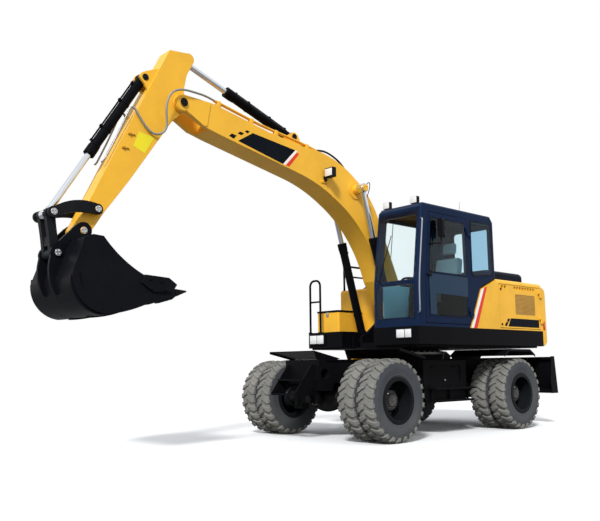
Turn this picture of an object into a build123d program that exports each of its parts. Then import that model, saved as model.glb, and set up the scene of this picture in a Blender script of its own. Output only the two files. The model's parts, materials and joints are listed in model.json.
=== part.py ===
"""Wheeled excavator: an undercarriage on four twin wheels with a rear dozer blade, a slewing upper
structure with cab and engine deck, and a working arm of boom, stick, linkage and bucket.

Millimetres. +X is forward, +Y is left, +Z is up. The ground is z = 0, and the origin lies below the
middle of the machine's box. A station "u" is measured forward from the swing axis.
"""
import os
from math import hypot

from build123d import *

os.makedirs("parts", exist_ok=True)

# ---------------------------------------------------------------- driving dimensions
SWING_X = -1730            # the swing axis, from the origin
FRONT_AXLE, REAR_AXLE = 1675, -1175
TYRE_R = 527.5
OUTER_Y, INNER_Y = 1150, 820       # centres of the outer and the inner tyre of a pair
HUB_Z = TYRE_R
FRAME_Y, TAIL_Y = 330, 200         # half width of the chassis, and of its tail
FRAME_TOP, FRAME_LOW = 1050, 640
KING_Y = 600               # kingpins, from the middle
BODY_Y = 1240              # half width of the upper structure
DECK_LOW, DECK_TOP = 1215, 1480
DECK_RIGHT = 920            # the deck's front edge on the right
TAIL_R = 2350              # the counterweight's swing radius
TAIL_CORNER = -2065        # where its sides meet the curved tail
CAB_Y0, CAB_Y1 = 440, BODY_Y
HOOD_FRONT, HOOD_REAR, HOOD_TOP = -680, -1950, 2240
ARM_Y, STICK_Y = 180, 115  # half widths of the boom and of the stick
CYL_Y = 320                # the two boom cylinders, from the middle
BUCKET_Y = 500
PIN_FIT = 0.6              # radial clearance of a pin in a turning eye
GAP = 6                    # side clearance between moving pieces

# pins of the working arm and of the blade, as (u, z)
BOOM_FOOT, BOOM_TIP = (220, 1700), (4198, 4115)
BOOM_CYL_BASE, BOOM_CYL_EYE = (580, 1330), (1230, 3500)
STICK_CYL_BASE, STICK_CYL_EYE = (2330, 4100), (4080, 4720)
BUCKET_CYL_BASE, LINK_TOP = (4660, 4343), (5753, 2567)
ROCKER_PIN, BUCKET_PIN, LINK_FOOT = (5267, 2658), (5400, 2415), (5679, 2150)
BLADE_PIN = (-1400, 550)
BLADE_CYL_BASE, BLADE_CYL_EYE, BLADE_CYL_Y = (-1500, 990), (-2080, 600), 265


# ---------------------------------------------------------------- planes and plain forms
def side(y=0):
    """Side view at y: the sketch's x runs forward from the swing axis and its y runs up."""
    return Plane(origin=(SWING_X, y, 0), x_dir=(1, 0, 0), z_dir=(0, -1, 0))


def level(z):
    """Plan view at height z: the sketch's x runs forward and its y to the left."""
    return Plane(origin=(SWING_X, 0, z))


def across(u):
    """Front view at station u: the sketch's x runs to the left and its y runs up."""
    return Plane(origin=(SWING_X + u, 0, 0), x_dir=(0, 1, 0), z_dir=(1, 0, 0))


def rod_plane(u, y, z, direction):
    """A plane square to a bar that starts at a point and runs in a direction."""
    return Plane(origin=(SWING_X + u, y, z), z_dir=direction)


def slab(points, y_low, y_high, mode=Mode.ADD, round_to=0):
    """A plate with the side outline given by points, from y_low to y_high."""
    with BuildSketch(side(y_high)) as face:
        with BuildLine():
            Polyline(*points, close=True)
        make_face()
        if round_to:
            fillet(face.vertices(), round_to)
    extrude(face.sketch, amount=y_high - y_low, mode=mode)


def disc(pin, radius, y_low, y_high, mode=Mode.ADD):
    """A round boss, pin or bore across the machine at a pin's place."""
    with BuildSketch(side(y_high)) as face:
        with Locations(pin):
            Circle(radius)
    extrude(face.sketch, amount=y_high - y_low, mode=mode)


def block(u0, u1, y0, y1, z0, z1, mode=Mode.ADD, corner=0):
    """A rectangular piece between two corners, its upright edges rounded where corner is given."""
    with BuildSketch(level(z0)) as face:
        with Locations(((u0 + u1) / 2, (y0 + y1) / 2)):
            if corner:
                RectangleRounded(u1 - u0, y1 - y0, corner)
            else:
                Rectangle(u1 - u0, y1 - y0)
    extrude(face.sketch, amount=z1 - z0, mode=mode)


def bar(start, direction, radius, length, mode=Mode.ADD):
    """A round bar from a point (u, y, z)."""
    with BuildSketch(rod_plane(*start, direction)) as face:
        Circle(radius)
    extrude(face.sketch, amount=length, mode=mode)


def tube(points, radius, bend):
    """A round bar bent along points (u, y, z)."""
    with BuildLine() as path:
        FilletPolyline(*[(SWING_X + u, y, z) for u, y, z in points], radius=bend)
    line = path.wires()[0]
    with BuildSketch(Plane(origin=line @ 0, z_dir=line % 0)) as face:
        Circle(radius)
    sweep(face.sketch, path=line)


def both_sides(y_low, y_high):
    """The same stretch of width on the left and on the right side."""
    return (y_low, y_high), (-y_high, -y_low)


def one_side(sign, y_low, y_high):
    """A stretch of width on the left (1) or on the right (-1) side."""
    return sorted((sign * y_low, sign * y_high))


def save(piece, name):
    piece.part.label = name
    export_step(piece.part, f"parts/{name}.step")


# ---------------------------------------------------------------- chassis and swing ring
TOWER_R, RING_R, RACE_R, RING_BORE = 585, 600, 540, 430
TOWER_TOP, RING_TOP = 1120, 1155
BLADE_PIN_R, TRUNNION_R = 40, 50
TRUNNIONS = (FRONT_AXLE - 300, FRONT_AXLE + 300)

with BuildPart() as chassis_frame:
    slab([(2150, FRAME_TOP), (2150, 780), (2040, FRAME_LOW), (-1420, FRAME_LOW), (-1420, FRAME_TOP)],
         -FRAME_Y, FRAME_Y)
    slab([(-1400, FRAME_TOP), (-1400, FRAME_LOW), (-1500, FRAME_LOW), (-1740, 800), (-1780, 860),
          (-1780, FRAME_TOP)], -TAIL_Y, TAIL_Y)
    # flanges of the welded box stand proud of its webs
    for z in (FRAME_TOP - 16, FRAME_LOW):
        block(-1410, 2030, -FRAME_Y - 18, FRAME_Y + 18, z, z + 16)
    # arch over the front axle's housing
    slab([(FRONT_AXLE - 250, 600), (FRONT_AXLE - 190, 740), (FRONT_AXLE + 190, 740), (FRONT_AXLE + 250, 600)],
         -FRAME_Y - 20, FRAME_Y + 20, mode=Mode.SUBTRACT)
    # round access holes through both webs, and a lifting eye in the tail
    for u in (980, 2040, -560, -960):
        disc((u, 860), 70, -FRAME_Y - 20, FRAME_Y + 20, mode=Mode.SUBTRACT)
    disc((-1700, 975), 45, -TAIL_Y, TAIL_Y, mode=Mode.SUBTRACT)
    # bearing tower
    with BuildSketch(level(FRAME_TOP - 15)):
        Circle(TOWER_R)
    extrude(amount=TOWER_TOP - FRAME_TOP + 15)
    # trunnion brackets of the front axle
    for u in TRUNNIONS:
        slab([(u - 35, FRAME_LOW + 5), (u - 35, 470), (u + 35, 470), (u + 35, FRAME_LOW + 5)], -150, 150)
        bar((u - 40, 0, HUB_Z), (1, 0, 0), TRUNNION_R + PIN_FIT, 80, mode=Mode.SUBTRACT)
    # seats of the rear axle
    for y0, y1 in both_sides(262, 320):
        block(REAR_AXLE - 90, REAR_AXLE + 90, y0, y1, 615, FRAME_LOW)
    # pivots of the blade's arms and feet of its cylinders
    for y0, y1 in both_sides(FRAME_Y - 50, FRAME_Y):
        slab([(-1300, FRAME_LOW), (-1500, FRAME_LOW), (-1470, 510), (-1430, 480), (-1370, 480), (-1330, 510)],
             y0, y1)
    disc(BLADE_PIN, BLADE_PIN_R, -430, 430)
    for y0, y1 in both_sides(TAIL_Y, 305):
        disc(BLADE_CYL_BASE, 25, y0, y1)
    for y0, y1 in both_sides(299, 314):
        disc(BLADE_CYL_BASE, 33, y0, y1)
save(chassis_frame, "chassis_frame")

with BuildPart() as swing_ring:
    with BuildSketch(level(TOWER_TOP)):
        Circle(RING_R)
        Circle(RING_BORE, mode=Mode.SUBTRACT)
    extrude(amount=RING_TOP - TOWER_TOP)
save(swing_ring, "swing_ring")

# ---------------------------------------------------------------- axles and drive
FORK_R, KING_R = 65, 30
with BuildPart() as front_axle:
    # housing turned about the axle: differential in the middle, a tube to each fork
    with BuildSketch(across(FRONT_AXLE)):
        with BuildLine():
            Polyline((-500, HUB_Z), (-500, HUB_Z + 78), (-250, HUB_Z + 88))
            ThreePointArc((-250, HUB_Z + 88), (0, HUB_Z + 185), (250, HUB_Z + 88))
            Polyline((250, HUB_Z + 88), (500, HUB_Z + 78), (500, HUB_Z), (-500, HUB_Z))
        make_face()
    revolve(axis=Axis((SWING_X + FRONT_AXLE, 0, HUB_Z), (0, 1, 0)))
    bar((FRONT_AXLE - 370, 0, HUB_Z), (1, 0, 0), TRUNNION_R, 740)
    bar((FRONT_AXLE - 245, 0, HUB_Z), (1, 0, 0), 95, 490)
    for sign in (-1, 1):
        # C-shaped fork round the kingpin
        y0, y1 = one_side(sign, 455, 505)
        block(FRONT_AXLE - 65, FRONT_AXLE + 65, y0, y1, HUB_Z - 160, HUB_Z + 160)
        for z in (HUB_Z - 160, HUB_Z + 122):
            y0, y1 = one_side(sign, 480, KING_Y)
            block(FRONT_AXLE - FORK_R, FRONT_AXLE + FORK_R, y0, y1, z, z + 38)
            bar((FRONT_AXLE, sign * KING_Y, z), (0, 0, 1), FORK_R, 38)
            bar((FRONT_AXLE, sign * KING_Y, z), (0, 0, 1), KING_R + PIN_FIT, 38, mode=Mode.SUBTRACT)
    # steering cylinder behind the housing
    bar((FRONT_AXLE - 200, -290, HUB_Z), (0, 1, 0), 38, 580)
    bar((FRONT_AXLE - 200, -420, HUB_Z), (0, 1, 0), 18, 840)
    for y in (-230, 230):
        block(FRONT_AXLE - 215, FRONT_AXLE - 50, y - 20, y + 20, HUB_Z - 34, HUB_Z + 34)
save(front_axle, "front_axle")

SPINDLE_R = 45
with BuildPart() as rear_axle:
    with BuildSketch(across(REAR_AXLE)):
        with BuildLine():
            Polyline((-712, HUB_Z), (-712, HUB_Z + 92), (-660, HUB_Z + 92), (-620, HUB_Z + 78),
                     (-250, HUB_Z + 82))
            ThreePointArc((-250, HUB_Z + 82), (0, HUB_Z + 106), (250, HUB_Z + 82))
            Polyline((250, HUB_Z + 82), (620, HUB_Z + 78), (660, HUB_Z + 92), (712, HUB_Z + 92),
                     (712, HUB_Z), (-712, HUB_Z))
        make_face()
    revolve(axis=Axis((SWING_X + REAR_AXLE, 0, HUB_Z), (0, 1, 0)))
    bar((REAR_AXLE, -860, HUB_Z), (0, 1, 0), SPINDLE_R, 1720)
    bar((REAR_AXLE, 0, HUB_Z), (1, 0, 0), 100, 230)
    for y0, y1 in both_sides(262, 318):
        block(REAR_AXLE - 80, REAR_AXLE + 80, y0, y1, HUB_Z, 615)
save(rear_axle, "rear_axle")

with BuildPart() as drive_line:
    block(150, 620, -190, 190, 420, FRAME_LOW)
    chamfer(drive_line.part.edges().group_by(Axis.Z)[0], 45)
    bar((620, 0, HUB_Z), (1, 0, 0), 36, 640)
    bar((1180, 0, HUB_Z), (1, 0, 0), 60, 80)
    bar((150, 0, HUB_Z), (-1, 0, 0), 36, 1000)
    bar((-840, 0, HUB_Z), (-1, 0, 0), 60, 80)
save(drive_line, "drive_line")

# ---------------------------------------------------------------- fenders, boxes and steps
FENDER_Y0, FENDER_Y1, FENDER_T = 300, 1290, 12
FENDERS = ([(1640, 1185), (1130, 1075)],
           [(-740, 1110), (-870, 1190), (-1450, 1190), (-1590, 1110)])
with BuildPart() as fenders:
    for line in FENDERS:
        under = [(u, z - FENDER_T) for u, z in reversed(line)]
        for y0, y1 in both_sides(FENDER_Y0, FENDER_Y1):
            slab(line + under, y0, y1)
        # inner bracket down to the chassis, a rib below the plate and a turned-down outer edge
        for y0, y1 in both_sides(FENDER_Y0, FENDER_Y0 + 12):
            slab(line + [(line[-1][0] + 60, FRAME_TOP), (line[0][0] - 60, FRAME_TOP)], y0, y1)
        for y0, y1 in both_sides(FENDER_Y1 - 8, FENDER_Y1):
            slab([(u, z - 35) for u, z in line] + line[::-1], y0, y1)
save(fenders, "fenders")

BOX_Y, TREAD_Y = 900, 1030
BOX = [(700, 1030), (700, 520), (640, 450), (-240, 450), (-300, 520), (-300, 1030)]
with BuildPart() as side_steps:
    for sign in (-1, 1):
        slab(BOX, *one_side(sign, FRAME_Y + 18, BOX_Y))
        # recessed door panel of the tool and battery box
        slab([(560, 960), (560, 700), (-160, 700), (-160, 960)], *one_side(sign, BOX_Y - 12, BOX_Y + 1),
             mode=Mode.SUBTRACT, round_to=30)
        # two treads on three hangers
        for z, u0, u1 in ((622, -350, 600), (452, -300, 560)):
            slab([(u1, z + 28), (u1, z), (u0, z), (u0, z + 28)], *one_side(sign, BOX_Y - 5, TREAD_Y))
            for u in range(u0 + 70, u1 - 60, 95):
                block(u, u + 60, *one_side(sign, BOX_Y + 30, TREAD_Y - 30), z - 1, z + 29,
                      mode=Mode.SUBTRACT, corner=14)
        for u in (-300, 130, 540):
            slab([(u, 650), (u + 20, 650), (u + 20, 452), (u, 452)], *one_side(sign, BOX_Y - 5, BOX_Y + 30))
save(side_steps, "side_steps")

with BuildPart() as front_step:
    for y0, y1 in both_sides(228, 240):
        slab([(2150, 985), (2200, 985), (2490, 625), (2490, 590), (2330, 590), (2150, 700)], y0, y1)
    block(2150, 2165, -229, 229, 700, 985)
    # pierced treads
    for u, z in ((2330, 590), (2235, 775)):
        block(u, u + 150, -229, 229, z, z + 22)
        for y in (-150, -50, 50, 150):
            block(u + 45, u + 105, y - 32, y + 32, z - 1, z + 23, mode=Mode.SUBTRACT, corner=14)
save(front_step, "front_step")

# ---------------------------------------------------------------- steering knuckles and wheels
for name, sign in (("knuckle_left", 1), ("knuckle_right", -1)):
    with BuildPart() as knuckle:
        bar((FRONT_AXLE, sign * KING_Y, HUB_Z - 118), (0, 0, 1), 62, 236)
        bar((FRONT_AXLE, sign * KING_Y, HUB_Z - 165), (0, 0, 1), KING_R, 330)
        bar((FRONT_AXLE, sign * KING_Y, HUB_Z), (0, sign, 0), 82, 112)
        bar((FRONT_AXLE, sign * KING_Y, HUB_Z), (0, sign, 0), SPINDLE_R, 260)
        slab([(FRONT_AXLE - 20, 580), (FRONT_AXLE - 20, 475), (FRONT_AXLE - 190, 500),
              (FRONT_AXLE - 215, 527), (FRONT_AXLE - 190, 554)], *one_side(sign, KING_Y - 28, KING_Y + 28))
    save(knuckle, name)

BEAD_R, RIM_R = 262, 262.5         # the bead sits half a millimetre tight on the rim
TYRE_HALF = [(-95, BEAD_R), (-119, 300), (-140, 385), (-133, 485), (-104, TYRE_R)]
RIM = [(-132, 244), (-132, 292), (-121, 292), (-119, RIM_R), (119, RIM_R), (121, 292), (132, 292), (132, 244)]
# hub with two dished discs, as (distance from the machine's middle, radius)
HUB = [(720, 0), (720, 120), (760, 150), (915, 160), (930, 246), (946, 246), (935, 185), (1030, 185),
       (1045, 246), (1061, 246), (1050, 150), (1075, 135), (1140, 128), (1160, 100), (1168, 60), (1168, 0)]
HAND_HOLES, HAND_HOLE_R = 8, 24
WHEELS = (("front_left", FRONT_AXLE, 1), ("front_right", FRONT_AXLE, -1),
          ("rear_left", REAR_AXLE, 1), ("rear_right", REAR_AXLE, -1))
for name, u, sign in WHEELS:
    axle = Axis((SWING_X + u, 0, HUB_Z), (0, 1, 0))
    with BuildPart() as tyres:
        for y in (OUTER_Y, INNER_Y):
            with BuildSketch(Plane(origin=(SWING_X + u, sign * y, HUB_Z), x_dir=(0, 1, 0), z_dir=(1, 0, 0))):
                with BuildLine():
                    Polyline(*TYRE_HALF, *[(-a, r) for a, r in reversed(TYRE_HALF)], close=True)
                make_face()
            revolve(axis=axle)
    save(tyres, f"tyres_{name}")
    with BuildPart() as rims:
        for y in (OUTER_Y, INNER_Y):
            with BuildSketch(Plane(origin=(SWING_X + u, sign * y, HUB_Z), x_dir=(0, 1, 0), z_dir=(1, 0, 0))):
                with BuildLine():
                    Polyline(*RIM, close=True)
                make_face()
            revolve(axis=axle)
        with BuildSketch(Plane(origin=(SWING_X + u, 0, HUB_Z), x_dir=(0, sign, 0), z_dir=(sign, 0, 0))):
            with BuildLine():
                Polyline(*HUB, close=True)
            make_face()
        revolve(axis=axle)
        with BuildSketch(rod_plane(u, sign * 900, HUB_Z, (0, sign, 0))):
            with PolarLocations(208, HAND_HOLES):
                Circle(HAND_HOLE_R)
        extrude(amount=180, mode=Mode.SUBTRACT)
        bar((u, sign * 715, HUB_Z), (0, sign, 0), SPINDLE_R + 1, 160, mode=Mode.SUBTRACT)
    save(rims, f"rims_{name}")

# ---------------------------------------------------------------- dozer blade
BLADE_Y, BLADE_LOW, BLADE_TOP = 1270, 500, 1075
with BuildPart() as dozer_blade:
    # curved mouldboard, hollow towards the rear
    with BuildSketch(side(BLADE_Y)):
        with BuildLine():
            rear = ThreePointArc((-2175, BLADE_TOP), (-2150, 790), (-2262, BLADE_LOW))
            front = ThreePointArc((-2240, BLADE_LOW), (-2126, 790), (-2150, BLADE_TOP))
            Line(rear @ 1, front @ 0)
            Line(front @ 1, rear @ 0)
        make_face()
    extrude(amount=2 * BLADE_Y)
    # end plates, upper and lower stiffeners, ribs between them
    for y0, y1 in both_sides(BLADE_Y - 15, BLADE_Y):
        slab([(-2200, 1085), (-2262, BLADE_LOW), (-2080, BLADE_LOW), (-2060, 700), (-2110, 1085)], y0, y1)
    slab([(-2155, BLADE_TOP), (-2085, BLADE_TOP), (-2085, 1030), (-2145, 1010)], -BLADE_Y + 5, BLADE_Y - 5)
    slab([(-2175, 570), (-2130, 560), (-2130, BLADE_LOW), (-2225, BLADE_LOW)], -BLADE_Y + 5, BLADE_Y - 5)
    for y0, y1 in both_sides(820, 840):
        slab([(-2150, BLADE_TOP - 5), (-2090, BLADE_TOP - 5), (-2105, 760), (-2130, BLADE_LOW + 5),
              (-2200, BLADE_LOW + 5), (-2135, 790)], y0, y1)
    # arms with their pivot bosses
    for y0, y1 in both_sides(350, 410):
        slab([(-2120, 740), (-1700, 690), (-1400, 610), (-1400, 490), (-1560, 500), (-2170, 530)], y0, y1)
        disc(BLADE_PIN, 75, y0, y1)
        disc(BLADE_PIN, BLADE_PIN_R + PIN_FIT, y0, y1, mode=Mode.SUBTRACT)
    # clevises of the two cylinders
    for y in (-BLADE_CYL_Y, BLADE_CYL_Y):
        for lug in (y - 47, y + 35):
            slab([(-2165, 670), (-2065, 642), (-2040, 600), (-2065, 562), (-2200, 540)], lug, lug + 12)
save(dozer_blade, "dozer_blade")


# ---------------------------------------------------------------- hydraulic cylinders
def stroke_plane(base, eye, y, distance):
    """A plane square to the cylinder at a distance from its base pin, towards the rod's eye."""
    plane = Plane(origin=(SWING_X + base[0], y, base[1]), x_dir=(0, 1, 0),
                  z_dir=(eye[0] - base[0], 0, eye[1] - base[1]))
    return plane.offset(distance)


def barrel(base, eye, y, tube_r, rod_r, length, eye_half, pin_r):
    """Barrel with its base eye, a bored tube, two collars and the gland at its open end."""
    for start, stop, radius in ((tube_r * 0.8, length, tube_r),
                                (length - 110, length, tube_r + 9),
                                (length - 150, length - 118, tube_r + 5),
                                (tube_r + 60, tube_r + 95, tube_r + 5)):
        with BuildSketch(stroke_plane(base, eye, y, start)) as ring:
            Circle(radius)
        extrude(ring.sketch, amount=stop - start)
    disc(base, tube_r + 6, y - eye_half, y + eye_half)
    for start, stop, radius in ((tube_r + 35, length - 70, tube_r - 12),
                                (length - 75, length + 5, rod_r + PIN_FIT)):
        with BuildSketch(stroke_plane(base, eye, y, start)) as hole:
            Circle(radius)
        extrude(hole.sketch, amount=stop - start, mode=Mode.SUBTRACT)
    disc(base, pin_r + PIN_FIT, y - eye_half, y + eye_half, mode=Mode.SUBTRACT)


def rod(base, eye, y, rod_r, start, eye_r, eye_half):
    """Rod with the eye at its end; the eye's pin stub is part of it, since the linkage opens there."""
    reach = hypot(eye[0] - base[0], eye[1] - base[1])
    for near, far, radius in ((start, reach, rod_r), (reach - eye_r - 18, reach - eye_r + 10, rod_r + 8)):
        with BuildSketch(stroke_plane(base, eye, y, near)) as ring:
            Circle(radius)
        extrude(ring.sketch, amount=far - near)
    disc(eye, eye_r, y - eye_half, y + eye_half)


with BuildPart() as blade_cylinder_barrels:
    for y in (-BLADE_CYL_Y, BLADE_CYL_Y):
        barrel(BLADE_CYL_BASE, BLADE_CYL_EYE, y, 45, 25, 560, 30, 25)
save(blade_cylinder_barrels, "blade_cylinder_barrels")
with BuildPart() as blade_cylinder_rods:
    for y in (-BLADE_CYL_Y, BLADE_CYL_Y):
        rod(BLADE_CYL_BASE, BLADE_CYL_EYE, y, 25, 300, 38, 24)
save(blade_cylinder_rods, "blade_cylinder_rods")

with BuildPart() as boom_cylinder_barrels:
    for y in (-CYL_Y, CYL_Y):
        barrel(BOOM_CYL_BASE, BOOM_CYL_EYE, y, 60, 38, 1531, 50, 35)
save(boom_cylinder_barrels, "boom_cylinder_barrels")
with BuildPart() as boom_cylinder_rods:
    for sign in (-1, 1):
        rod(BOOM_CYL_BASE, BOOM_CYL_EYE, sign * CYL_Y, 38, 720, 70, 50)
        disc(BOOM_CYL_EYE, 60, *one_side(sign, CYL_Y + 50, CYL_Y + 66))
save(boom_cylinder_rods, "boom_cylinder_rods")

with BuildPart() as stick_cylinder_barrel:
    barrel(STICK_CYL_BASE, STICK_CYL_EYE, 0, 62, 38, 1178, 55, 35)
save(stick_cylinder_barrel, "stick_cylinder_barrel")
with BuildPart() as stick_cylinder_rod:
    rod(STICK_CYL_BASE, STICK_CYL_EYE, 0, 38, 707, 60, 50)
save(stick_cylinder_rod, "stick_cylinder_rod")

with BuildPart() as bucket_cylinder_barrel:
    barrel(BUCKET_CYL_BASE, LINK_TOP, 0, 56, 35, 1220, 50, 35)
save(bucket_cylinder_barrel, "bucket_cylinder_barrel")
with BuildPart() as bucket_cylinder_rod:
    rod(BUCKET_CYL_BASE, LINK_TOP, 0, 35, 690, 60, 45)
save(bucket_cylinder_rod, "bucket_cylinder_rod")

# ---------------------------------------------------------------- upper frame
BAY_Y, BAY_U0, BAY_U1 = 430, 200, 1160     # the open bay round the boom's foot
FOOT_Y0, FOOT_Y1 = 205, 245                # the two boom foot brackets
EAR_Y0, EAR_Y1 = 385, 410                  # outer ears of the boom cylinders' feet
with BuildPart() as upper_frame:
    with BuildSketch(level(DECK_LOW + 25)) as plan:
        with BuildLine():
            Polyline((1190, BODY_Y), (HOOD_REAR, BODY_Y), (HOOD_REAR, -BODY_Y), (DECK_RIGHT, -BODY_Y),
                     (DECK_RIGHT, -450), (300, -450), (300, CAB_Y0), (1190, CAB_Y0), close=True)
        make_face()
        fillet(plan.vertices().group_by(Axis.Y)[0].sort_by(Axis.X)[-1], 90)
    extrude(amount=DECK_TOP - DECK_LOW - 25)
    block(-1900, 880, -1150, 0, DECK_LOW, DECK_LOW + 30)
    block(-1900, 1150, 0, 1150, DECK_LOW, DECK_LOW + 30)
    block(BAY_U0, BAY_U1, -BAY_Y, BAY_Y, DECK_LOW - 1, DECK_TOP + 1, mode=Mode.SUBTRACT)
    # turning race under the deck
    with BuildSketch(level(RING_TOP + 7)):
        Circle(RACE_R)
        Circle(RING_BORE, mode=Mode.SUBTRACT)
    extrude(amount=DECK_LOW - RING_TOP - 7)
    # boom foot brackets, humped over the pin, on an open floor with a front cross plate
    for y0, y1 in both_sides(FOOT_Y0, FOOT_Y1):
        slab([(-700, DECK_LOW), (740, DECK_LOW), (740, 1400), (640, 1440), (420, 1600), (330, 1750),
              (110, 1760), (-350, 1500), (-640, DECK_TOP), (-700, DECK_TOP)], y0, y1)
        disc(BOOM_FOOT, 135, y0, y1)
    block(700, 740, -FOOT_Y0, FOOT_Y0, DECK_LOW, 1300)
    for y0, y1 in both_sides(EAR_Y0, EAR_Y1):
        slab([(500, DECK_LOW), (740, DECK_LOW), (740, 1400), (640, 1410), (500, 1400)], y0, y1)
    for y0, y1 in both_sides(FOOT_Y1 - 5, EAR_Y1):
        block(700, 740, y0, y1, DECK_LOW, 1235)
        block(BAY_U0, 740, y0, y1, DECK_LOW, DECK_LOW + 20)
        disc(BOOM_CYL_BASE, 35, y0, y1)
    disc(BOOM_FOOT, 50, -FOOT_Y1, FOOT_Y1)
save(upper_frame, "upper_frame")

# ---------------------------------------------------------------- engine compartment and counterweight
with BuildPart() as counterweight:
    with BuildSketch(level(1250)):
        with BuildLine():
            Polyline((TAIL_CORNER, -BODY_Y), (HOOD_REAR - 4, -BODY_Y), (HOOD_REAR - 4, BODY_Y),
                     (TAIL_CORNER, BODY_Y))
            ThreePointArc((TAIL_CORNER, BODY_Y), (-TAIL_R, 0), (TAIL_CORNER, -BODY_Y))
        make_face()
    extrude(amount=930)
    fillet(counterweight.part.edges().group_by(Axis.Z)[-1].filter_by(GeomType.CIRCLE), 100)
    chamfer(counterweight.part.edges().group_by(Axis.Z)[0].filter_by(GeomType.CIRCLE), 60)
    # pockets of the two lifting points, and the opening to the tow pin
    for y in (-780, 780):
        block(-2120, -2000, y - 45, y + 45, 2120, 2181, mode=Mode.SUBTRACT, corner=20)
    block(-2360, -2280, -130, 130, 1400, 1560, mode=Mode.SUBTRACT)
save(counterweight, "counterweight")

with BuildPart() as engine_block:
    block(-1750, -1000, -450, 420, DECK_TOP, 2080)
save(engine_block, "engine_block")

HINGE_R, HINGE_PIN_R, HINGE_L = 12, 6, 60
SIDE_HINGE, SIDE_HINGE_Z = (-1885, BODY_Y + 20), (1600, 2010)
HOOD_HINGE, HOOD_HINGE_Y = (-1830, 2258), (-700, 640)


def upright_hinge(at, sign, z, foot, pinned):
    """One half of an upright hinge on a side wall: the fixed half carries the pin, below the other."""
    u, y = at
    z0, z1 = (z, z + HINGE_L) if pinned else (z + HINGE_L + 2, z + 2 * HINGE_L)
    block(*foot, *one_side(sign, BODY_Y - 4, y + 8), z0, z1)
    block(min(foot[0], u), max(foot[1], u), *one_side(sign, y - 8, y + 8), z0, z1)
    bar((u, sign * y, z0), (0, 0, 1), HINGE_R, z1 - z0)
    if pinned:
        bar((u, sign * y, z0), (0, 0, 1), HINGE_PIN_R, 2 * HINGE_L)
    else:
        bar((u, sign * y, z0), (0, 0, 1), HINGE_PIN_R + PIN_FIT, z1 - z0, mode=Mode.SUBTRACT)


def level_hinge(at, y, foot, pinned):
    """One half of the hood's hinge; the fixed half carries the pin."""
    u, z = at
    y0, y1 = (y, y + HINGE_L) if pinned else (y + HINGE_L + 2, y + 2 * HINGE_L)
    block(*foot, y0, y1, z - 22, z + 6)
    block(min(foot[0], u), max(foot[1], u), y0, y1, z - 6, z + 6)
    disc(at, HINGE_R, y0, y1)
    if pinned:
        disc(at, HINGE_PIN_R, y0, y + 2 * HINGE_L)
    else:
        disc(at, HINGE_PIN_R + PIN_FIT, y0, y1, mode=Mode.SUBTRACT)


SEAM = 8                   # gap round the panels that open
PANEL_T = 40
HATCH = (-1820, -740, 1050)        # the opening in the hood's top: rear, front, half width
SIDE_DOOR = (-1900, -740, 1500, 2170)      # rear, front, bottom, top
with BuildPart() as hood_body:
    block(HOOD_REAR, HOOD_FRONT, -BODY_Y, BODY_Y, DECK_TOP, HOOD_TOP)
    fillet(hood_body.part.edges().filter_by(Axis.X).group_by(Axis.Z)[-1], 60)
    block(HOOD_REAR + 30, HOOD_FRONT - 30, -BODY_Y + PANEL_T, BODY_Y - PANEL_T, DECK_TOP, HOOD_TOP - 30,
          mode=Mode.SUBTRACT)
    block(HATCH[0], HATCH[1], -HATCH[2], HATCH[2], HOOD_TOP - 60, HOOD_TOP + 10, mode=Mode.SUBTRACT)
    for y0, y1 in both_sides(BODY_Y - 50, BODY_Y + 10):
        slab([(SIDE_DOOR[0], SIDE_DOOR[2]), (SIDE_DOOR[1], SIDE_DOOR[2]), (SIDE_DOOR[1], SIDE_DOOR[3]),
              (SIDE_DOOR[0], SIDE_DOOR[3])], y0, y1, mode=Mode.SUBTRACT)
    for z in SIDE_HINGE_Z:
        for sign in (-1, 1):
            upright_hinge(SIDE_HINGE, sign, z, (-1935, -1905), True)
    for y in HOOD_HINGE_Y:
        level_hinge(HOOD_HINGE, y, (-1878, -1850), True)
    # fixed panel behind the cab, cut to the cab's slanted rear edge
    slab([(2, DECK_TOP), (-290, 2060), (HOOD_FRONT, 2222), (HOOD_FRONT, DECK_TOP)], BODY_Y - 30, BODY_Y)
save(hood_body, "hood_body")

with BuildPart() as engine_hood:
    block(HATCH[0] + SEAM, HATCH[1] - SEAM, -HATCH[2] + SEAM, HATCH[2] - SEAM, HOOD_TOP - 25, 2410,
          corner=120)
    fillet(engine_hood.part.edges().group_by(Axis.Z)[-1], 75)
    block(HATCH[0] + 45, HATCH[1] - 45, -HATCH[2] + 45, HATCH[2] - 45, HOOD_TOP - 26, 2375,
          mode=Mode.SUBTRACT, corner=90)
    for y in HOOD_HINGE_Y:
        level_hinge(HOOD_HINGE, y, (-1810, -1790), False)
save(engine_hood, "engine_hood")

for name, sign in (("left_side_door", 1), ("right_side_door", -1)):
    y0, y1 = one_side(sign, BODY_Y - PANEL_T, BODY_Y + 2)
    with BuildPart() as door:
        slab([(SIDE_DOOR[0] + SEAM, SIDE_DOOR[2] + SEAM), (SIDE_DOOR[1] - SEAM, SIDE_DOOR[2] + SEAM),
              (SIDE_DOOR[1] - SEAM, SIDE_DOOR[3] - SEAM), (SIDE_DOOR[0] + SEAM, SIDE_DOOR[3] - SEAM)], y0, y1)
        # cooling slots along the top and the window of the grille below them
        for u in (*range(-1750, -1130, 78), -940, -862):
            slab([(u, 2135), (u + 14, 2150), (u + 56, 2150), (u + 56, 2110), (u + 42, 2095), (u, 2095)],
                 y0 - 1, y1 + 1, mode=Mode.SUBTRACT)
        slab([(-1745, 2030), (-1175, 2030), (-1175, 1720), (-1745, 1720)], y0 - 1, y1 + 1,
             mode=Mode.SUBTRACT, round_to=25)
        slab([(-1755, 2040), (-1165, 2040), (-1165, 1710), (-1755, 1710)], y0 + 14, y1 - 14)
        for z in SIDE_HINGE_Z:
            upright_hinge(SIDE_HINGE, sign, z, (-1865, -1838), False)
    save(door, name)

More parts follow.
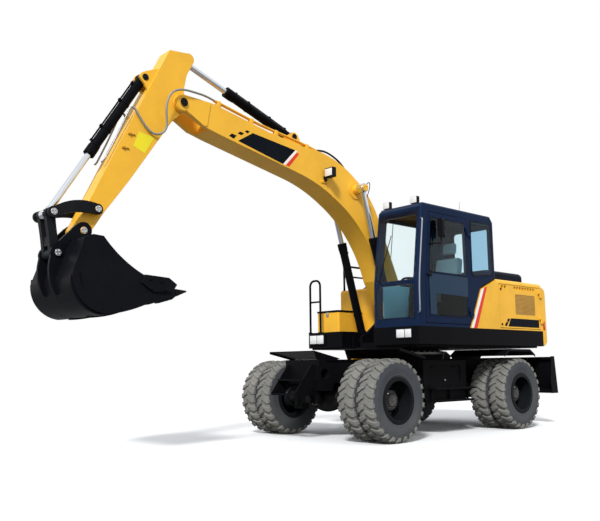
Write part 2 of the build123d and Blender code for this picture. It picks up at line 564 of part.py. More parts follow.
# ---------------------------------------------------------------- deck
with BuildPart() as fuel_tank:
    block(HOOD_FRONT + 4, 165, -BODY_Y, -470, DECK_TOP, 2200)
    fillet(fuel_tank.part.edges().filter_by(Axis.Z).group_by(Axis.X)[-1], 60)
    fillet(fuel_tank.part.edges().group_by(Axis.Z)[-1], 40)
    bar((-120, -860, 2195), (0, 0, 1), 62, 35)
save(fuel_tank, "fuel_tank")

TOOLBOX = (170, 700, -1220, -730)
LID_HINGE, LID_HINGE_R, LID_HINGE_Y = (178, 1838), 10, (-1110, -840)
with BuildPart() as toolbox:
    u0, u1, y0, y1 = TOOLBOX
    block(u0, u1, y0, y1, DECK_TOP, 1800, corner=30)
    block(u0 + 18, u1 - 18, y0 + 18, y1 - 18, DECK_TOP + 20, 1801, mode=Mode.SUBTRACT, corner=14)
    for y in LID_HINGE_Y:
        block(172, 186, y - 20, y + 20, 1770, 1838)
        disc(LID_HINGE, LID_HINGE_R, y - 20, y + 20)
        disc(LID_HINGE, HINGE_PIN_R, y - 45, y + 45)
save(toolbox, "toolbox")
with BuildPart() as toolbox_lid:
    block(u0 + 2, u1 + 10, y0 - 8, y1 + 8, 1806, 1832, corner=34)
    for y in LID_HINGE_Y:
        disc(LID_HINGE, LID_HINGE_R, y - 50, y + 50)
        block(160, 196, y - 26, y + 26, 1800, 1850, mode=Mode.SUBTRACT)
        disc(LID_HINGE, HINGE_PIN_R + PIN_FIT, y - 50, y + 50, mode=Mode.SUBTRACT)
save(toolbox_lid, "toolbox_lid")

with BuildPart() as handrails:
    tube([(850, -1215, DECK_TOP), (850, -1215, 2310), (850, -985, 2310), (850, -985, DECK_TOP)], 17, 90)
    bar((850, -1215, 1970), (0, 1, 0), 14, 230)
    tube([(100, -1180, 2200), (100, -1180, 2620), (-600, -1180, 2620), (-600, -1180, 2200)], 17, 90)
    bar((-600, -1180, 2450), (1, 0, 0), 14, 700)
save(handrails, "handrails")

# ---------------------------------------------------------------- cab
CAB_TOP, CAB_BELT = 3180, 2230
CAB_SIDE = [(1190, DECK_TOP), (1185, 2080), (1045, 3120), (985, CAB_TOP), (-600, CAB_TOP),
            (HOOD_FRONT + 4, 3090), (HOOD_FRONT + 4, CAB_BELT), (-284, 2066), (8, DECK_TOP)]
CAB_INSIDE = [(1130, DECK_TOP + 40), (1128, 2080), (990, 3100), (-580, 3130), (-625, 3080), (-625, 2262),
              (-255, 2110), (50, DECK_TOP + 40)]
WALL, CAB_ROUND = 50, 42
CAB_MID = (CAB_Y0 + CAB_Y1) / 2
DOOR_HINGE, DOOR_HINGE_Z = (30, BODY_Y + 22), (1650, 2800)
DOORWAY = [(1030, 1520), (1010, 2080), (900, 3060), (10, 3060), (-10, 2200), (30, 1520)]
QUARTER = [(-80, 2240), (-80, 3030), (-560, 3030), (-560, 2290)]
RIGHT_WINDOW = [(1040, 1620), (1030, 2090), (900, 3020), (-520, 3020), (-520, 2330), (-150, 2180),
                (120, 1620)]
with BuildPart() as cab_frame:
    slab(CAB_SIDE, CAB_Y0, CAB_Y1)
    fillet(cab_frame.part.edges().filter_by(Axis.Y, reverse=True).filter_by(
        lambda e: e.center().Z > DECK_TOP + 5), CAB_ROUND)
    slab(CAB_INSIDE, CAB_Y0 + WALL, CAB_Y1 - WALL, mode=Mode.SUBTRACT)
    slab(DOORWAY, CAB_Y1 - WALL - 1, CAB_Y1 + 1, mode=Mode.SUBTRACT)
    slab(QUARTER, CAB_Y1 - WALL - 1, CAB_Y1 + 1, mode=Mode.SUBTRACT, round_to=40)
    slab(RIGHT_WINDOW, CAB_Y0 - 1, CAB_Y0 + WALL + 1, mode=Mode.SUBTRACT, round_to=50)
    # windscreen above the bar, lower front window, rear window
    for u, z, height, depth in ((1300, 2560, 900, -400), (1300, 1825, 440, -400), (-500, 2680, 640, -400)):
        with BuildSketch(across(u)):
            with Locations((CAB_MID, z)):
                RectangleRounded(CAB_Y1 - CAB_Y0 - 150, height, 50)
        extrude(amount=depth, mode=Mode.SUBTRACT)
    for z in DOOR_HINGE_Z:
        upright_hinge(DOOR_HINGE, 1, z, (-40, 0), True)
save(cab_frame, "cab_frame")


def pane(foot, head, start, stop, y_low, y_high):
    """A bonded pane on a sloping wall: the wall runs from foot to head in the side view."""
    run = hypot(head[0] - foot[0], head[1] - foot[1])
    along = ((head[0] - foot[0]) / run, (head[1] - foot[1]) / run)
    out = (along[1], -along[0])
    low = (foot[0] + along[0] * start, foot[1] + along[1] * start)
    high = (foot[0] + along[0] * stop, foot[1] + along[1] * stop)
    slab([low, high, (high[0] + out[0] * 5, high[1] + out[1] * 5),
          (low[0] + out[0] * 5, low[1] + out[1] * 5)], y_low, y_high)


with BuildPart() as cab_glass:
    slab([(-66, 2228), (-66, 3044), (-574, 3044), (-574, 2278)], CAB_Y1, CAB_Y1 + 5, round_to=40)
    slab([(1054, 1606), (1044, 2092), (912, 3034), (-534, 3034), (-534, 2322), (-158, 2166), (112, 1606)],
         CAB_Y0 - 5, CAB_Y0, round_to=50)
    pane(CAB_SIDE[1], CAB_SIDE[2], 20, 1000, CAB_Y0 + 60, CAB_Y1 - 60)
    pane(CAB_SIDE[0], CAB_SIDE[1], 110, 585, CAB_Y0 + 60, CAB_Y1 - 60)
    block(HOOD_FRONT - 1, HOOD_FRONT + 4, CAB_Y0 + 60, CAB_Y1 - 60, 2345, 3015)
save(cab_glass, "cab_glass")

with BuildPart() as cab_door:
    slab([(1022, 1528), (1002, 2080), (892, 3052), (18, 3052), (-2, 2200), (38, 1528)],
         CAB_Y1 - 40, CAB_Y1 + 4)
    slab([(930, 2230), (850, 2970), (90, 2970), (80, 2230)], CAB_Y1 - 50, CAB_Y1 + 10,
         mode=Mode.SUBTRACT, round_to=40)
    slab([(940, 1640), (925, 2120), (80, 2120), (110, 1640)], CAB_Y1 - 50, CAB_Y1 + 10,
         mode=Mode.SUBTRACT, round_to=60)
    for z in DOOR_HINGE_Z:
        upright_hinge(DOOR_HINGE, 1, z, (44, 64), False)
save(cab_door, "cab_door")

with BuildPart() as door_glass:
    slab([(942, 2220), (860, 2982), (80, 2982), (70, 2220)], CAB_Y1 + 4, CAB_Y1 + 9, round_to=40)
    slab([(952, 1630), (937, 2130), (68, 2130), (100, 1630)], CAB_Y1 + 4, CAB_Y1 + 9, round_to=60)
save(door_glass, "door_glass")

with BuildPart() as seat:
    block(120, 360, 700, 980, DECK_TOP + 40, 1800, corner=30)
    block(-20, 470, 600, 1080, 1800, 1940, corner=60)
    slab([(-20, 1940), (100, 1940), (-10, 2560), (-130, 2540)], 620, 1060)
    slab([(-135, 2580), (-35, 2590), (-55, 2780), (-145, 2760)], 720, 960)
    block(-100, -70, 820, 860, 2500, 2640)
save(seat, "seat")

WHEEL_U, WHEEL_Z = 760, 2110       # steering wheel
with BuildPart() as cab_controls:
    slab([(780, DECK_TOP + 40), (880, DECK_TOP + 40), (808, 2104), (748, 2084)], CAB_MID - 40, CAB_MID + 40)
    with Locations(rod_plane(WHEEL_U, CAB_MID, WHEEL_Z, (-0.35, 0, 1))):
        Torus(175, 14)
        Cylinder(30, 60)
        Box(330, 24, 12)
    # side consoles with a joystick each
    for y0, y1 in ((500, 590), (1090, 1180)):
        slab([(80, DECK_TOP + 40), (80, 1990), (200, 2010), (480, 1960), (480, 1900),
              (330, DECK_TOP + 40)], y0, y1)
        bar((390, (y0 + y1) / 2, 1960), (0.15, 0, 1), 16, 170)
        with Locations((SWING_X + 416, (y0 + y1) / 2, 2140)):
            Sphere(32)
save(cab_controls, "cab_controls")

with BuildPart() as work_lights:
    for y0, y1 in ((480, 600), (980, 1100)):
        block(900, 970, y0, y1, CAB_TOP + 16, CAB_TOP + 110, corner=14)
        block(915, 935, y0 + 40, y1 - 40, CAB_TOP, CAB_TOP + 20)
    block(1190, 1202, 850, 1130, 1320, 1455)
    block(DECK_RIGHT, DECK_RIGHT + 32, -1140, -800, 1290, 1450, corner=12)
save(work_lights, "work_lights")

with BuildPart() as mirrors:
    tube([(922, BODY_Y + 4, 2600), (922, 1322, 2600), (740, 1322, 2620), (740, 1322, 2780)], 11, 30)
    with BuildSketch(across(721)):
        with Locations((1322, 2830)):
            RectangleRounded(96, 260, 30)
    extrude(amount=38)
save(mirrors, "mirrors")

# ---------------------------------------------------------------- boom
TIP_PIN_R = 45
with BuildPart() as boom:
    with BuildSketch(side(ARM_Y)):
        with BuildLine():
            foot = Line((335, 1640), (700, 2210))
            knee = ThreePointArc(foot @ 1, (1030, 2810), (1590, 3280))
            neck = ThreePointArc(knee @ 1, (1950, 3455), (2330, 3565))
            nose = Polyline(neck @ 1, (3700, 3840), (3884, 3885), (4150, 4015), (4215, 4222), (3746, 4207),
                            (2841, 4030), (2233, 3953))
            hump = ThreePointArc(nose @ 1, (1680, 3890), (1205, 3657))
            nape = ThreePointArc(hump @ 1, (950, 3450), (765, 3193))
            Polyline(nape @ 1, (95, 1740), (335, 1640))
        make_face()
        with Locations(BOOM_FOOT):
            Circle(130)
        with Locations(BOOM_TIP):
            Circle(110)
    extrude(amount=2 * ARM_Y)
    # fork at the tip for the stick
    slab([(3560, 4400), (3560, 4120), (3780, 3990), (3840, 3700), (4500, 3700), (4500, 4400)],
         -STICK_Y - GAP - 2, STICK_Y + GAP + 2, mode=Mode.SUBTRACT)
    disc(BOOM_TIP, TIP_PIN_R, -ARM_Y - 25, ARM_Y + 25)
    # doubler plates on the fork, bosses of the boom cylinders and of the foot
    for y0, y1 in both_sides(ARM_Y, ARM_Y + 10):
        slab([(3800, 4195), (3850, 3895), (3900, 3890), (4140, 4020), (4200, 4205)], y0, y1)
        disc(BOOM_TIP, 98, y0, y1)
    for y0, y1 in both_sides(ARM_Y, CYL_Y - 50 - GAP):
        disc(BOOM_CYL_EYE, 72, y0, y1)
    for y0, y1 in both_sides(ARM_Y, ARM_Y + 14):
        disc(BOOM_CYL_EYE, 135, y0, y1)
    for y0, y1 in both_sides(ARM_Y, 199):
        disc(BOOM_FOOT, 110, y0, y1)
    disc(BOOM_FOOT, 50 + PIN_FIT, -200, 200, mode=Mode.SUBTRACT)
    # ears of the stick cylinder on the boom's back
    for y0, y1 in both_sides(68, 93):
        slab([(2160, 3935), (2270, 4140), (2390, 4140), (2600, 3995)], y0, y1)
        disc(STICK_CYL_BASE, 62, y0, y1)
    slab([(2230, 4190), (2180, 4000), (2520, 4050), (2600, 4300)], -68, 68, mode=Mode.SUBTRACT)
    disc(STICK_CYL_BASE, 35, -93, 93)
save(boom, "boom")

with BuildPart() as boom_light:
    block(1800, 1880, ARM_Y + 35, ARM_Y + 195, 3570, 3700, corner=18)
    block(1850, 1870, ARM_Y, ARM_Y + 60, 3520, 3600)
save(boom_light, "boom_light")

# ---------------------------------------------------------------- stick
# beside the stick turn the bucket's ears, and outside them the rocker arms
EAR_IN, EAR_OUT = STICK_Y + GAP, STICK_Y + GAP + 40
ROCKER_Y0, ROCKER_Y1 = EAR_OUT + GAP, EAR_OUT + GAP + 38
BUCKET_PIN_R, ROCKER_PIN_R = 40, 32
with BuildPart() as stick:
    with BuildSketch(side(STICK_Y)):
        with BuildLine():
            Polyline((4351, 4760), (4060, 4792), (4008, 4700), (4110, 4500), (4150, 4297), (4110, 4080),
                     (4310, 3870), (4853, 3060), (5172, 2621), (5325, 2376), (5400, 2334), (5470, 2370),
                     (5484, 2425), (4966, 3523), (4750, 3952), (4580, 4300), close=True)
        make_face()
        with Locations(STICK_CYL_EYE):
            Circle(74)
        with Locations(BOOM_TIP):
            Circle(108)
        with Locations(BUCKET_PIN):
            Circle(84)
    extrude(amount=2 * STICK_Y)
    disc(BOOM_TIP, TIP_PIN_R + PIN_FIT, -STICK_Y, STICK_Y, mode=Mode.SUBTRACT)
    # slot for the stick cylinder's rod
    slab([(3900, 4900), (3900, 4640), (4150, 4610), (4230, 4680), (4230, 4900)], -56, 56, mode=Mode.SUBTRACT)
    # ears of the bucket cylinder on the stick's back
    for y0, y1 in both_sides(56, 86):
        slab([(4470, 4500), (4660, 4420), (4740, 4330), (4670, 4260), (4600, 4150), (4500, 4150)], y0, y1)
        disc(BUCKET_CYL_BASE, 66, y0, y1)
    slab([(4560, 4480), (4560, 4300), (4690, 4150), (4900, 4100), (4900, 4480)], -56, 56, mode=Mode.SUBTRACT)
    disc(BUCKET_CYL_BASE, 35, -86, 86)
    # pins of the bucket and of the rockers
    disc(BUCKET_PIN, BUCKET_PIN_R, -EAR_OUT - 3, EAR_OUT + 3)
    disc(ROCKER_PIN, ROCKER_PIN_R, -ROCKER_Y1 - 12, ROCKER_Y1 + 12)
    for y0, y1 in both_sides(STICK_Y, ROCKER_Y0 - 3):
        disc(ROCKER_PIN, 52, y0, y1)
save(stick, "stick")

# ---------------------------------------------------------------- bucket linkage
with BuildPart() as rocker_links:
    for y0, y1 in both_sides(ROCKER_Y0, ROCKER_Y1):
        with BuildSketch(side(y1)):
            with BuildLine():
                upper = ThreePointArc((5267, 2716), (5500, 2725), (5753, 2622))
                lower = ThreePointArc((5753, 2512), (5500, 2596), (5267, 2600))
                Line(upper @ 1, lower @ 0)
                Line(lower @ 1, upper @ 0)
            make_face()
            for place in (ROCKER_PIN, LINK_TOP):
                with Locations(place):
                    Circle(60)
        extrude(amount=y1 - y0)
        disc(ROCKER_PIN, ROCKER_PIN_R + PIN_FIT, y0, y1, mode=Mode.SUBTRACT)
    # stubs of the upper link pin, reaching in to the link
    for y0, y1 in both_sides(STICK_Y + GAP, ROCKER_Y0):
        disc(LINK_TOP, 36, y0, y1)
save(rocker_links, "rocker_links")

with BuildPart() as bucket_link:
    for y0, y1 in both_sides(52, STICK_Y):
        with BuildSketch(side(y1)):
            with BuildLine():
                fore = ThreePointArc((5806, 2567), (5764, 2360), (5736, 2150))
                aft = ThreePointArc((5622, 2150), (5672, 2360), (5700, 2567))
                Line(fore @ 1, aft @ 0)
                Line(aft @ 1, fore @ 0)
            make_face()
        extrude(amount=y1 - y0)
        disc(LINK_TOP, 58, y0, y1)
    # cross web and foot boss
    slab([(5686, 2330), (5746, 2330), (5742, 2230), (5668, 2230)], -60, 60)
    disc(LINK_FOOT, 60, -STICK_Y, STICK_Y)
    disc(LINK_FOOT, BUCKET_PIN_R + PIN_FIT, -STICK_Y, STICK_Y, mode=Mode.SUBTRACT)
save(bucket_link, "bucket_link")

# ---------------------------------------------------------------- bucket
with BuildPart() as bucket:
    # body between the side plates: back of the mouth, heel, floor and lip
    with BuildSketch(side(BUCKET_Y)):
        with BuildLine():
            mouth = ThreePointArc((5340, 2317), (5080, 2075), (4795, 1918))
            lip = Polyline(mouth @ 1, (4600, 1882), (4500, 1726), (4831, 1633))
            floor = ThreePointArc(lip @ 1, (5090, 1545), (5355, 1502))
            heel = ThreePointArc(floor @ 1, (5600, 1625), (5687, 1870))
            Polyline(heel @ 1, (5600, 2120), (5550, 2284), (5457, 2324), (5340, 2317))
        make_face()
    extrude(amount=2 * BUCKET_Y)
    # inside, 25 mm in from the shell, through the open mouth
    with BuildSketch(side(BUCKET_Y - 25)):
        with BuildLine():
            Polyline((5310, 2480), (5310, 2292), (5452, 2298), (5530, 2262), (5576, 2110), (5661, 1868))
            ThreePointArc((5661, 1868), (5580, 1643), (5352, 1529))
            ThreePointArc((5352, 1529), (5095, 1572), (4836, 1660))
            Polyline((4836, 1660), (4545, 1742), (4400, 1760), (4300, 2100), (4800, 2480), (5310, 2480))
        make_face()
    extrude(amount=2 * BUCKET_Y - 50, mode=Mode.SUBTRACT)
    # hinge ears, sweeping down over the heel
    for y0, y1 in both_sides(EAR_IN, EAR_OUT):
        with BuildSketch(side(y1)):
            with BuildLine():
                Polyline((5310, 2300), (5315, 2460), (5480, 2470), (5742, 2200), (5752, 2100))
                ThreePointArc((5752, 2100), (5757, 1900), (5690, 1720))
                Polyline((5690, 1720), (5600, 1700), (5560, 2290), (5310, 2300))
            make_face()
            with Locations(BUCKET_PIN):
                Circle(92)
            with Locations(LINK_FOOT):
                Circle(76)
        extrude(amount=y1 - y0)
        disc(BUCKET_PIN, BUCKET_PIN_R + PIN_FIT, y0, y1, mode=Mode.SUBTRACT)
    disc(LINK_FOOT, BUCKET_PIN_R, -EAR_OUT - 12, EAR_OUT + 12)
    # side cutters, and wear strips along the heel
    for y0, y1 in both_sides(BUCKET_Y, BUCKET_Y + 24):
        slab([(4860, 1950), (4567, 1935), (4463, 1866), (4520, 1780), (4760, 1770), (4900, 1860)], y0, y1)
        with BuildSketch(side(y1)):
            with BuildLine():
                outer = ThreePointArc((5130, 1550), (5520, 1590), (5672, 1930))
                inner = ThreePointArc((5600, 1930), (5480, 1650), (5140, 1600))
                Line(outer @ 1, inner @ 0)
                Line(inner @ 1, outer @ 0)
            make_face()
        extrude(amount=y1 - y0)
    for y0, y1 in both_sides(180, 240):
        with BuildSketch(side(y1)):
            with BuildLine():
                under = ThreePointArc((4900, 1596), (5120, 1520), (5355, 1488))
                over = ThreePointArc((5355, 1510), (5120, 1545), (4905, 1618))
                Line(under @ 1, over @ 0)
                Line(over @ 1, under @ 0)
            make_face()
        extrude(amount=y1 - y0)
save(bucket, "bucket")

TEETH = 5
with BuildPart() as bucket_teeth:
    for i in range(TEETH):
        y = (i - (TEETH - 1) / 2) * 2 * (BUCKET_Y - 75) / (TEETH - 1)
        # adapter whose two jaws straddle the lip, and the tapered point on its nose
        slab([(4730, 1692), (4700, 1726), (4560, 1792), (4448, 1822), (4448, 1738), (4490, 1706),
              (4655, 1657), (4680, 1674), (4497, 1725), (4509, 1749), (4546, 1744)], y - 38, y + 38)
        with BuildSketch(Plane(origin=(SWING_X + 4445, y, 1784), x_dir=(0, 1, 0), z_dir=(-1, 0, 0.16))):
            Rectangle(84, 84)
        with BuildSketch(Plane(origin=(SWING_X + 4300, y, 1808), x_dir=(0, 1, 0), z_dir=(-1, 0, 0.16))):
            Rectangle(64, 14)
        loft()
save(bucket_teeth, "bucket_teeth")
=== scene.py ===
import json
from math import cos, pi, radians, sin

import bmesh
import bpy
from mathutils import Matrix, Quaternion, Vector


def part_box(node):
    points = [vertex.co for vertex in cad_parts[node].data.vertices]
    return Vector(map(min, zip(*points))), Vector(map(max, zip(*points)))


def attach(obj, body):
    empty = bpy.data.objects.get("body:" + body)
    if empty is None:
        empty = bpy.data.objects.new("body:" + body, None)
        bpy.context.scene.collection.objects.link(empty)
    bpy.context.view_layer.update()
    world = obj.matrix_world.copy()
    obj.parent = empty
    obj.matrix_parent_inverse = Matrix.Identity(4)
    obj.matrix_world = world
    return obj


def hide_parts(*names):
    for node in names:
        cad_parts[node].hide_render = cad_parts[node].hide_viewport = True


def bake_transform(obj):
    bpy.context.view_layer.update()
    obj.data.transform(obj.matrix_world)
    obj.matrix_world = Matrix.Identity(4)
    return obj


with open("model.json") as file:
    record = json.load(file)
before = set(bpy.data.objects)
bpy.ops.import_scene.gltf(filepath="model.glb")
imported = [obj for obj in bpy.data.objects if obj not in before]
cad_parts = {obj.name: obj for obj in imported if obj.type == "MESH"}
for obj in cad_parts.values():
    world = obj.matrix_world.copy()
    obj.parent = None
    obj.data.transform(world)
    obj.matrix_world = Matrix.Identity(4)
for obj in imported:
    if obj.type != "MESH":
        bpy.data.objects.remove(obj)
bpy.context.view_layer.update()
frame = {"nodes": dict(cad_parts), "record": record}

# ---------------------------------------------------------------- camera, floor and light
# The machine stands on a pale floor. A white sky lights it evenly, and one broad sun ahead of it, on
# the cab's side, draws the shadows.


def linked(name, data):
    """An object from its data, put into the scene."""
    made = bpy.data.objects.new(name, data)
    bpy.context.collection.objects.link(made)
    return made


camera = linked("camera", bpy.data.cameras.new("camera"))
bpy.context.scene.camera = camera
camera.data.sensor_width = 36
camera.data.lens = 43.847
yaw, pitch, roll = radians(227.826), radians(8.218), radians(-0.583)
forward = Vector((cos(pitch) * cos(yaw), cos(pitch) * sin(yaw), sin(pitch)))
camera.rotation_mode = "QUATERNION"
camera.rotation_quaternion = forward.to_track_quat("-Z", "Y") @ Quaternion((0, 0, 1), roll)
camera.location = (7.093, 7.349, 0.968)
bpy.context.scene.view_settings.view_transform = "Standard"


def add(tree, kind, inputs=None, **settings):
    """A shader node with its settings and inputs, where a node stands for its first output."""
    made = tree.nodes.new("ShaderNode" + kind)
    for key, value in settings.items():
        setattr(made, key, value)
    for key, value in (inputs or {}).items():
        if isinstance(value, bpy.types.Node):
            value = value.outputs[0]
        if isinstance(value, bpy.types.NodeSocket):
            tree.links.new(value, made.inputs[key])
        else:
            made.inputs[key].default_value = value
    return made


def calc(tree, operation, *values, clamp=False):
    """A node that works out one number from others."""
    return add(tree, "Math", dict(enumerate(values)), operation=operation, use_clamp=clamp)


world = bpy.data.worlds.new("sky")
world.use_nodes = True
bpy.context.scene.world = world
sky = world.node_tree
sky.nodes.clear()
rays = add(sky, "LightPath")
seen = calc(sky, "MAXIMUM", rays.outputs["Is Camera Ray"], rays.outputs["Is Glossy Ray"])
seen = calc(sky, "MAXIMUM", seen, rays.outputs["Is Transmission Ray"])
dim = add(sky, "Background", {"Color": (0.93, 0.96, 1, 1), "Strength": 0.80})
white = add(sky, "Background", {"Color": (1, 1, 1, 1), "Strength": 1})
both = add(sky, "MixShader", {0: seen, 1: dim, 2: white})
add(sky, "OutputWorld", {"Surface": both})

sun = linked("sun", bpy.data.lights.new("sun", "SUN"))
sun.data.energy = 3.1
sun.data.angle = radians(9)
sun.rotation_mode = "QUATERNION"
sun.rotation_quaternion = Vector((-0.66, -0.46, -0.60)).to_track_quat("-Z", "Y")

floor_mesh = bmesh.new()
bmesh.ops.create_circle(floor_mesh, cap_ends=True, segments=96, radius=120)
floor_data = bpy.data.meshes.new("floor")
floor_mesh.to_mesh(floor_data)
floor_mesh.free()
floor = linked("floor", floor_data)
floor_paint = bpy.data.materials.new("floor")
floor_paint.use_nodes = True
tree = floor_paint.node_tree
tree.nodes.clear()
place = add(tree, "TexCoord")
reach = add(tree, "VectorMath", {0: place.outputs["Object"]}, operation="LENGTH")
fade = add(tree, "MapRange", {"Value": reach.outputs["Value"], "From Min": 6, "From Max": 16})
rays = add(tree, "LightPath")
fade = calc(tree, "MULTIPLY", fade, rays.outputs["Is Camera Ray"])
pale = add(tree, "MapRange", {"Value": rays.outputs["Is Camera Ray"], "To Min": 0.26, "To Max": 0.95})
matte = add(tree, "BsdfDiffuse", {"Color": pale})
glow = add(tree, "Emission", {"Color": (1, 1, 1, 1), "Strength": 1})
both = add(tree, "MixShader", {0: fade, 1: matte, 2: glow})
add(tree, "OutputMaterial", {"Surface": both})
floor_data.materials.append(floor_paint)

# ---------------------------------------------------------------- tyres
# Eight cross-ply tyres, two side by side on each wheel: a moulded black carcass with a heavy traction
# tread of slanted blocks that reach over the shoulder. The blocks carry a film of pale yard dust.
weathering = bpy.data.node_groups.new("weathering", "ShaderNodeTree")
for title, kind in (("Paint", "Color"), ("Dust", "Color"), ("Amount", "Float"), ("Height", "Float"),
                    ("Shine", "Float"), ("Grain", "Float"), ("Relief", "Float")):
    weathering.interface.new_socket(title, in_out="INPUT", socket_type="NodeSocket" + kind)
for title, kind in (("Color", "Color"), ("Roughness", "Float"), ("Normal", "Vector")):
    weathering.interface.new_socket(title, in_out="OUTPUT", socket_type="NodeSocket" + kind)
given = weathering.nodes.new("NodeGroupInput").outputs
place = add(weathering, "TexCoord").outputs["Object"]
patch = add(weathering, "TexNoise", {"Vector": place, "Scale": 2.3, "Detail": 6, "Roughness": 0.62})
patch = add(weathering, "MapRange", {"Value": patch, "From Min": 0.42, "From Max": 0.72})
fine = add(weathering, "TexNoise", {"Vector": place, "Scale": given["Grain"], "Detail": 3, "Roughness": 0.55})
split = add(weathering, "SeparateXYZ", {0: place})
low = add(weathering, "MapRange", {"Value": split.outputs["Z"], "From Min": 0, "From Max": given["Height"],
                                   "To Min": 1, "To Max": 0})
low = calc(weathering, "MULTIPLY", low, 0.75)
spread = calc(weathering, "MULTIPLY_ADD", patch, 0.5, low)
spread = calc(weathering, "MULTIPLY", spread, given["Amount"])
speckle = add(weathering, "MapRange", {"Value": fine, "From Min": 0.3, "From Max": 0.7, "To Min": 0.55,
                                       "To Max": 1.45})
mask = calc(weathering, "MULTIPLY", spread, speckle, clamp=True)
tone = add(weathering, "MapRange", {"Value": patch, "To Min": 1.04, "To Max": 0.93})
toned = add(weathering, "VectorMath", {0: given["Paint"], "Scale": tone}, operation="SCALE")
coloured = add(weathering, "MixRGB", {"Fac": mask, "Color1": toned, "Color2": given["Dust"]})
dull = calc(weathering, "MULTIPLY_ADD", mask, 0.45, given["Shine"])
uneven = calc(weathering, "MULTIPLY_ADD", patch, 0.06, dull, clamp=True)
soft_edge = add(weathering, "Bevel", {"Radius": 0.006}, samples=4)
bump = add(weathering, "Bump", {"Height": fine, "Strength": given["Relief"], "Distance": 0.004,
                                "Normal": soft_edge})
out = weathering.nodes.new("NodeGroupOutput").inputs
for title, node in (("Color", coloured), ("Roughness", uneven), ("Normal", bump)):
    weathering.links.new(node.outputs[0], out[title])


def material(name):
    """A new material, with its node tree and its shader."""
    made = bpy.data.materials.new(name)
    made.use_nodes = True
    return made, made.node_tree, made.node_tree.nodes["Principled BSDF"]


def finish(name, paint, shine, dust=(0.30, 0.27, 0.22), amount=0.1, height=1.2, grain=70, relief=0.05,
           metal=0.0, specular=0.07):
    """A weathered finish: its own colour and gloss, with a film of dust that is thickest near the ground."""
    made, tree, shader = material(name)
    wear = tree.nodes.new("ShaderNodeGroup")
    wear.node_tree = weathering
    for title, value in (("Paint", (*paint, 1)), ("Dust", (*dust, 1)), ("Amount", amount), ("Height", height),
                         ("Shine", shine), ("Grain", grain), ("Relief", relief)):
        wear.inputs[title].default_value = value
    for title, socket in (("Color", "Base Color"), ("Roughness", "Roughness"), ("Normal", "Normal")):
        tree.links.new(wear.outputs[title], shader.inputs[socket])
    shader.inputs["Metallic"].default_value = metal
    shader.inputs["Specular IOR Level"].default_value = specular
    return made


def piece(name, data, body, finishes):
    """A piece from mesh data, in its finishes, that rides on a body."""
    for each in finishes:
        data.materials.append(each)
    data.shade_smooth()
    made = linked(name, data)
    if body:
        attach(made, body)
    return made


def make(name, mesh, body, *finishes, slot=None, crease=35):
    """A piece from a bmesh, shaded smooth up to an angle."""
    data = bpy.data.meshes.new(name)
    bmesh.ops.recalc_face_normals(mesh, faces=mesh.faces)
    mesh.to_mesh(data)
    mesh.free()
    made = piece(name, data, body, finishes)
    data.set_sharp_from_angle(angle=radians(crease))
    return made


def verts_in(geometry):
    """The vertices among what a mesh operator gives back."""
    return [item for item in geometry if isinstance(item, bmesh.types.BMVert)]


JOINTS = {joint["name"]: joint for joint in frame["record"]["behaviour"]["joints"]}
SWING_X = JOINTS["swing"]["pos_m"][0]
WHEELS = ("front_left", "front_right", "rear_left", "rear_right")
PAIR_OFFSET = 0.165            # each tyre's middle from the middle of the pair
TYRE_HALF_WIDTH = 0.14
TREAD_FOOT = 0.484             # the radius from which the carcass has the tread's finish
TREAD_RADIUS = 0.51            # the radius on which a block's lean and width are measured
BLOCKS = 26                    # along each side of a tyre
# half a carcass section, as (from the tyre's middle, radius)
CARCASS = ((0.095, 0.2625), (0.110, 0.266), (0.119, 0.282), (0.123, 0.304), (0.1275, 0.309),
           (0.130, 0.316), (0.1285, 0.322), (0.132, 0.345), (0.1365, 0.385), (0.1375, 0.425),
           (0.1355, 0.431), (0.1335, 0.455), (0.128, 0.478), (0.116, 0.492), (0.090, 0.499),
           (0.045, 0.502), (0.0, 0.503))
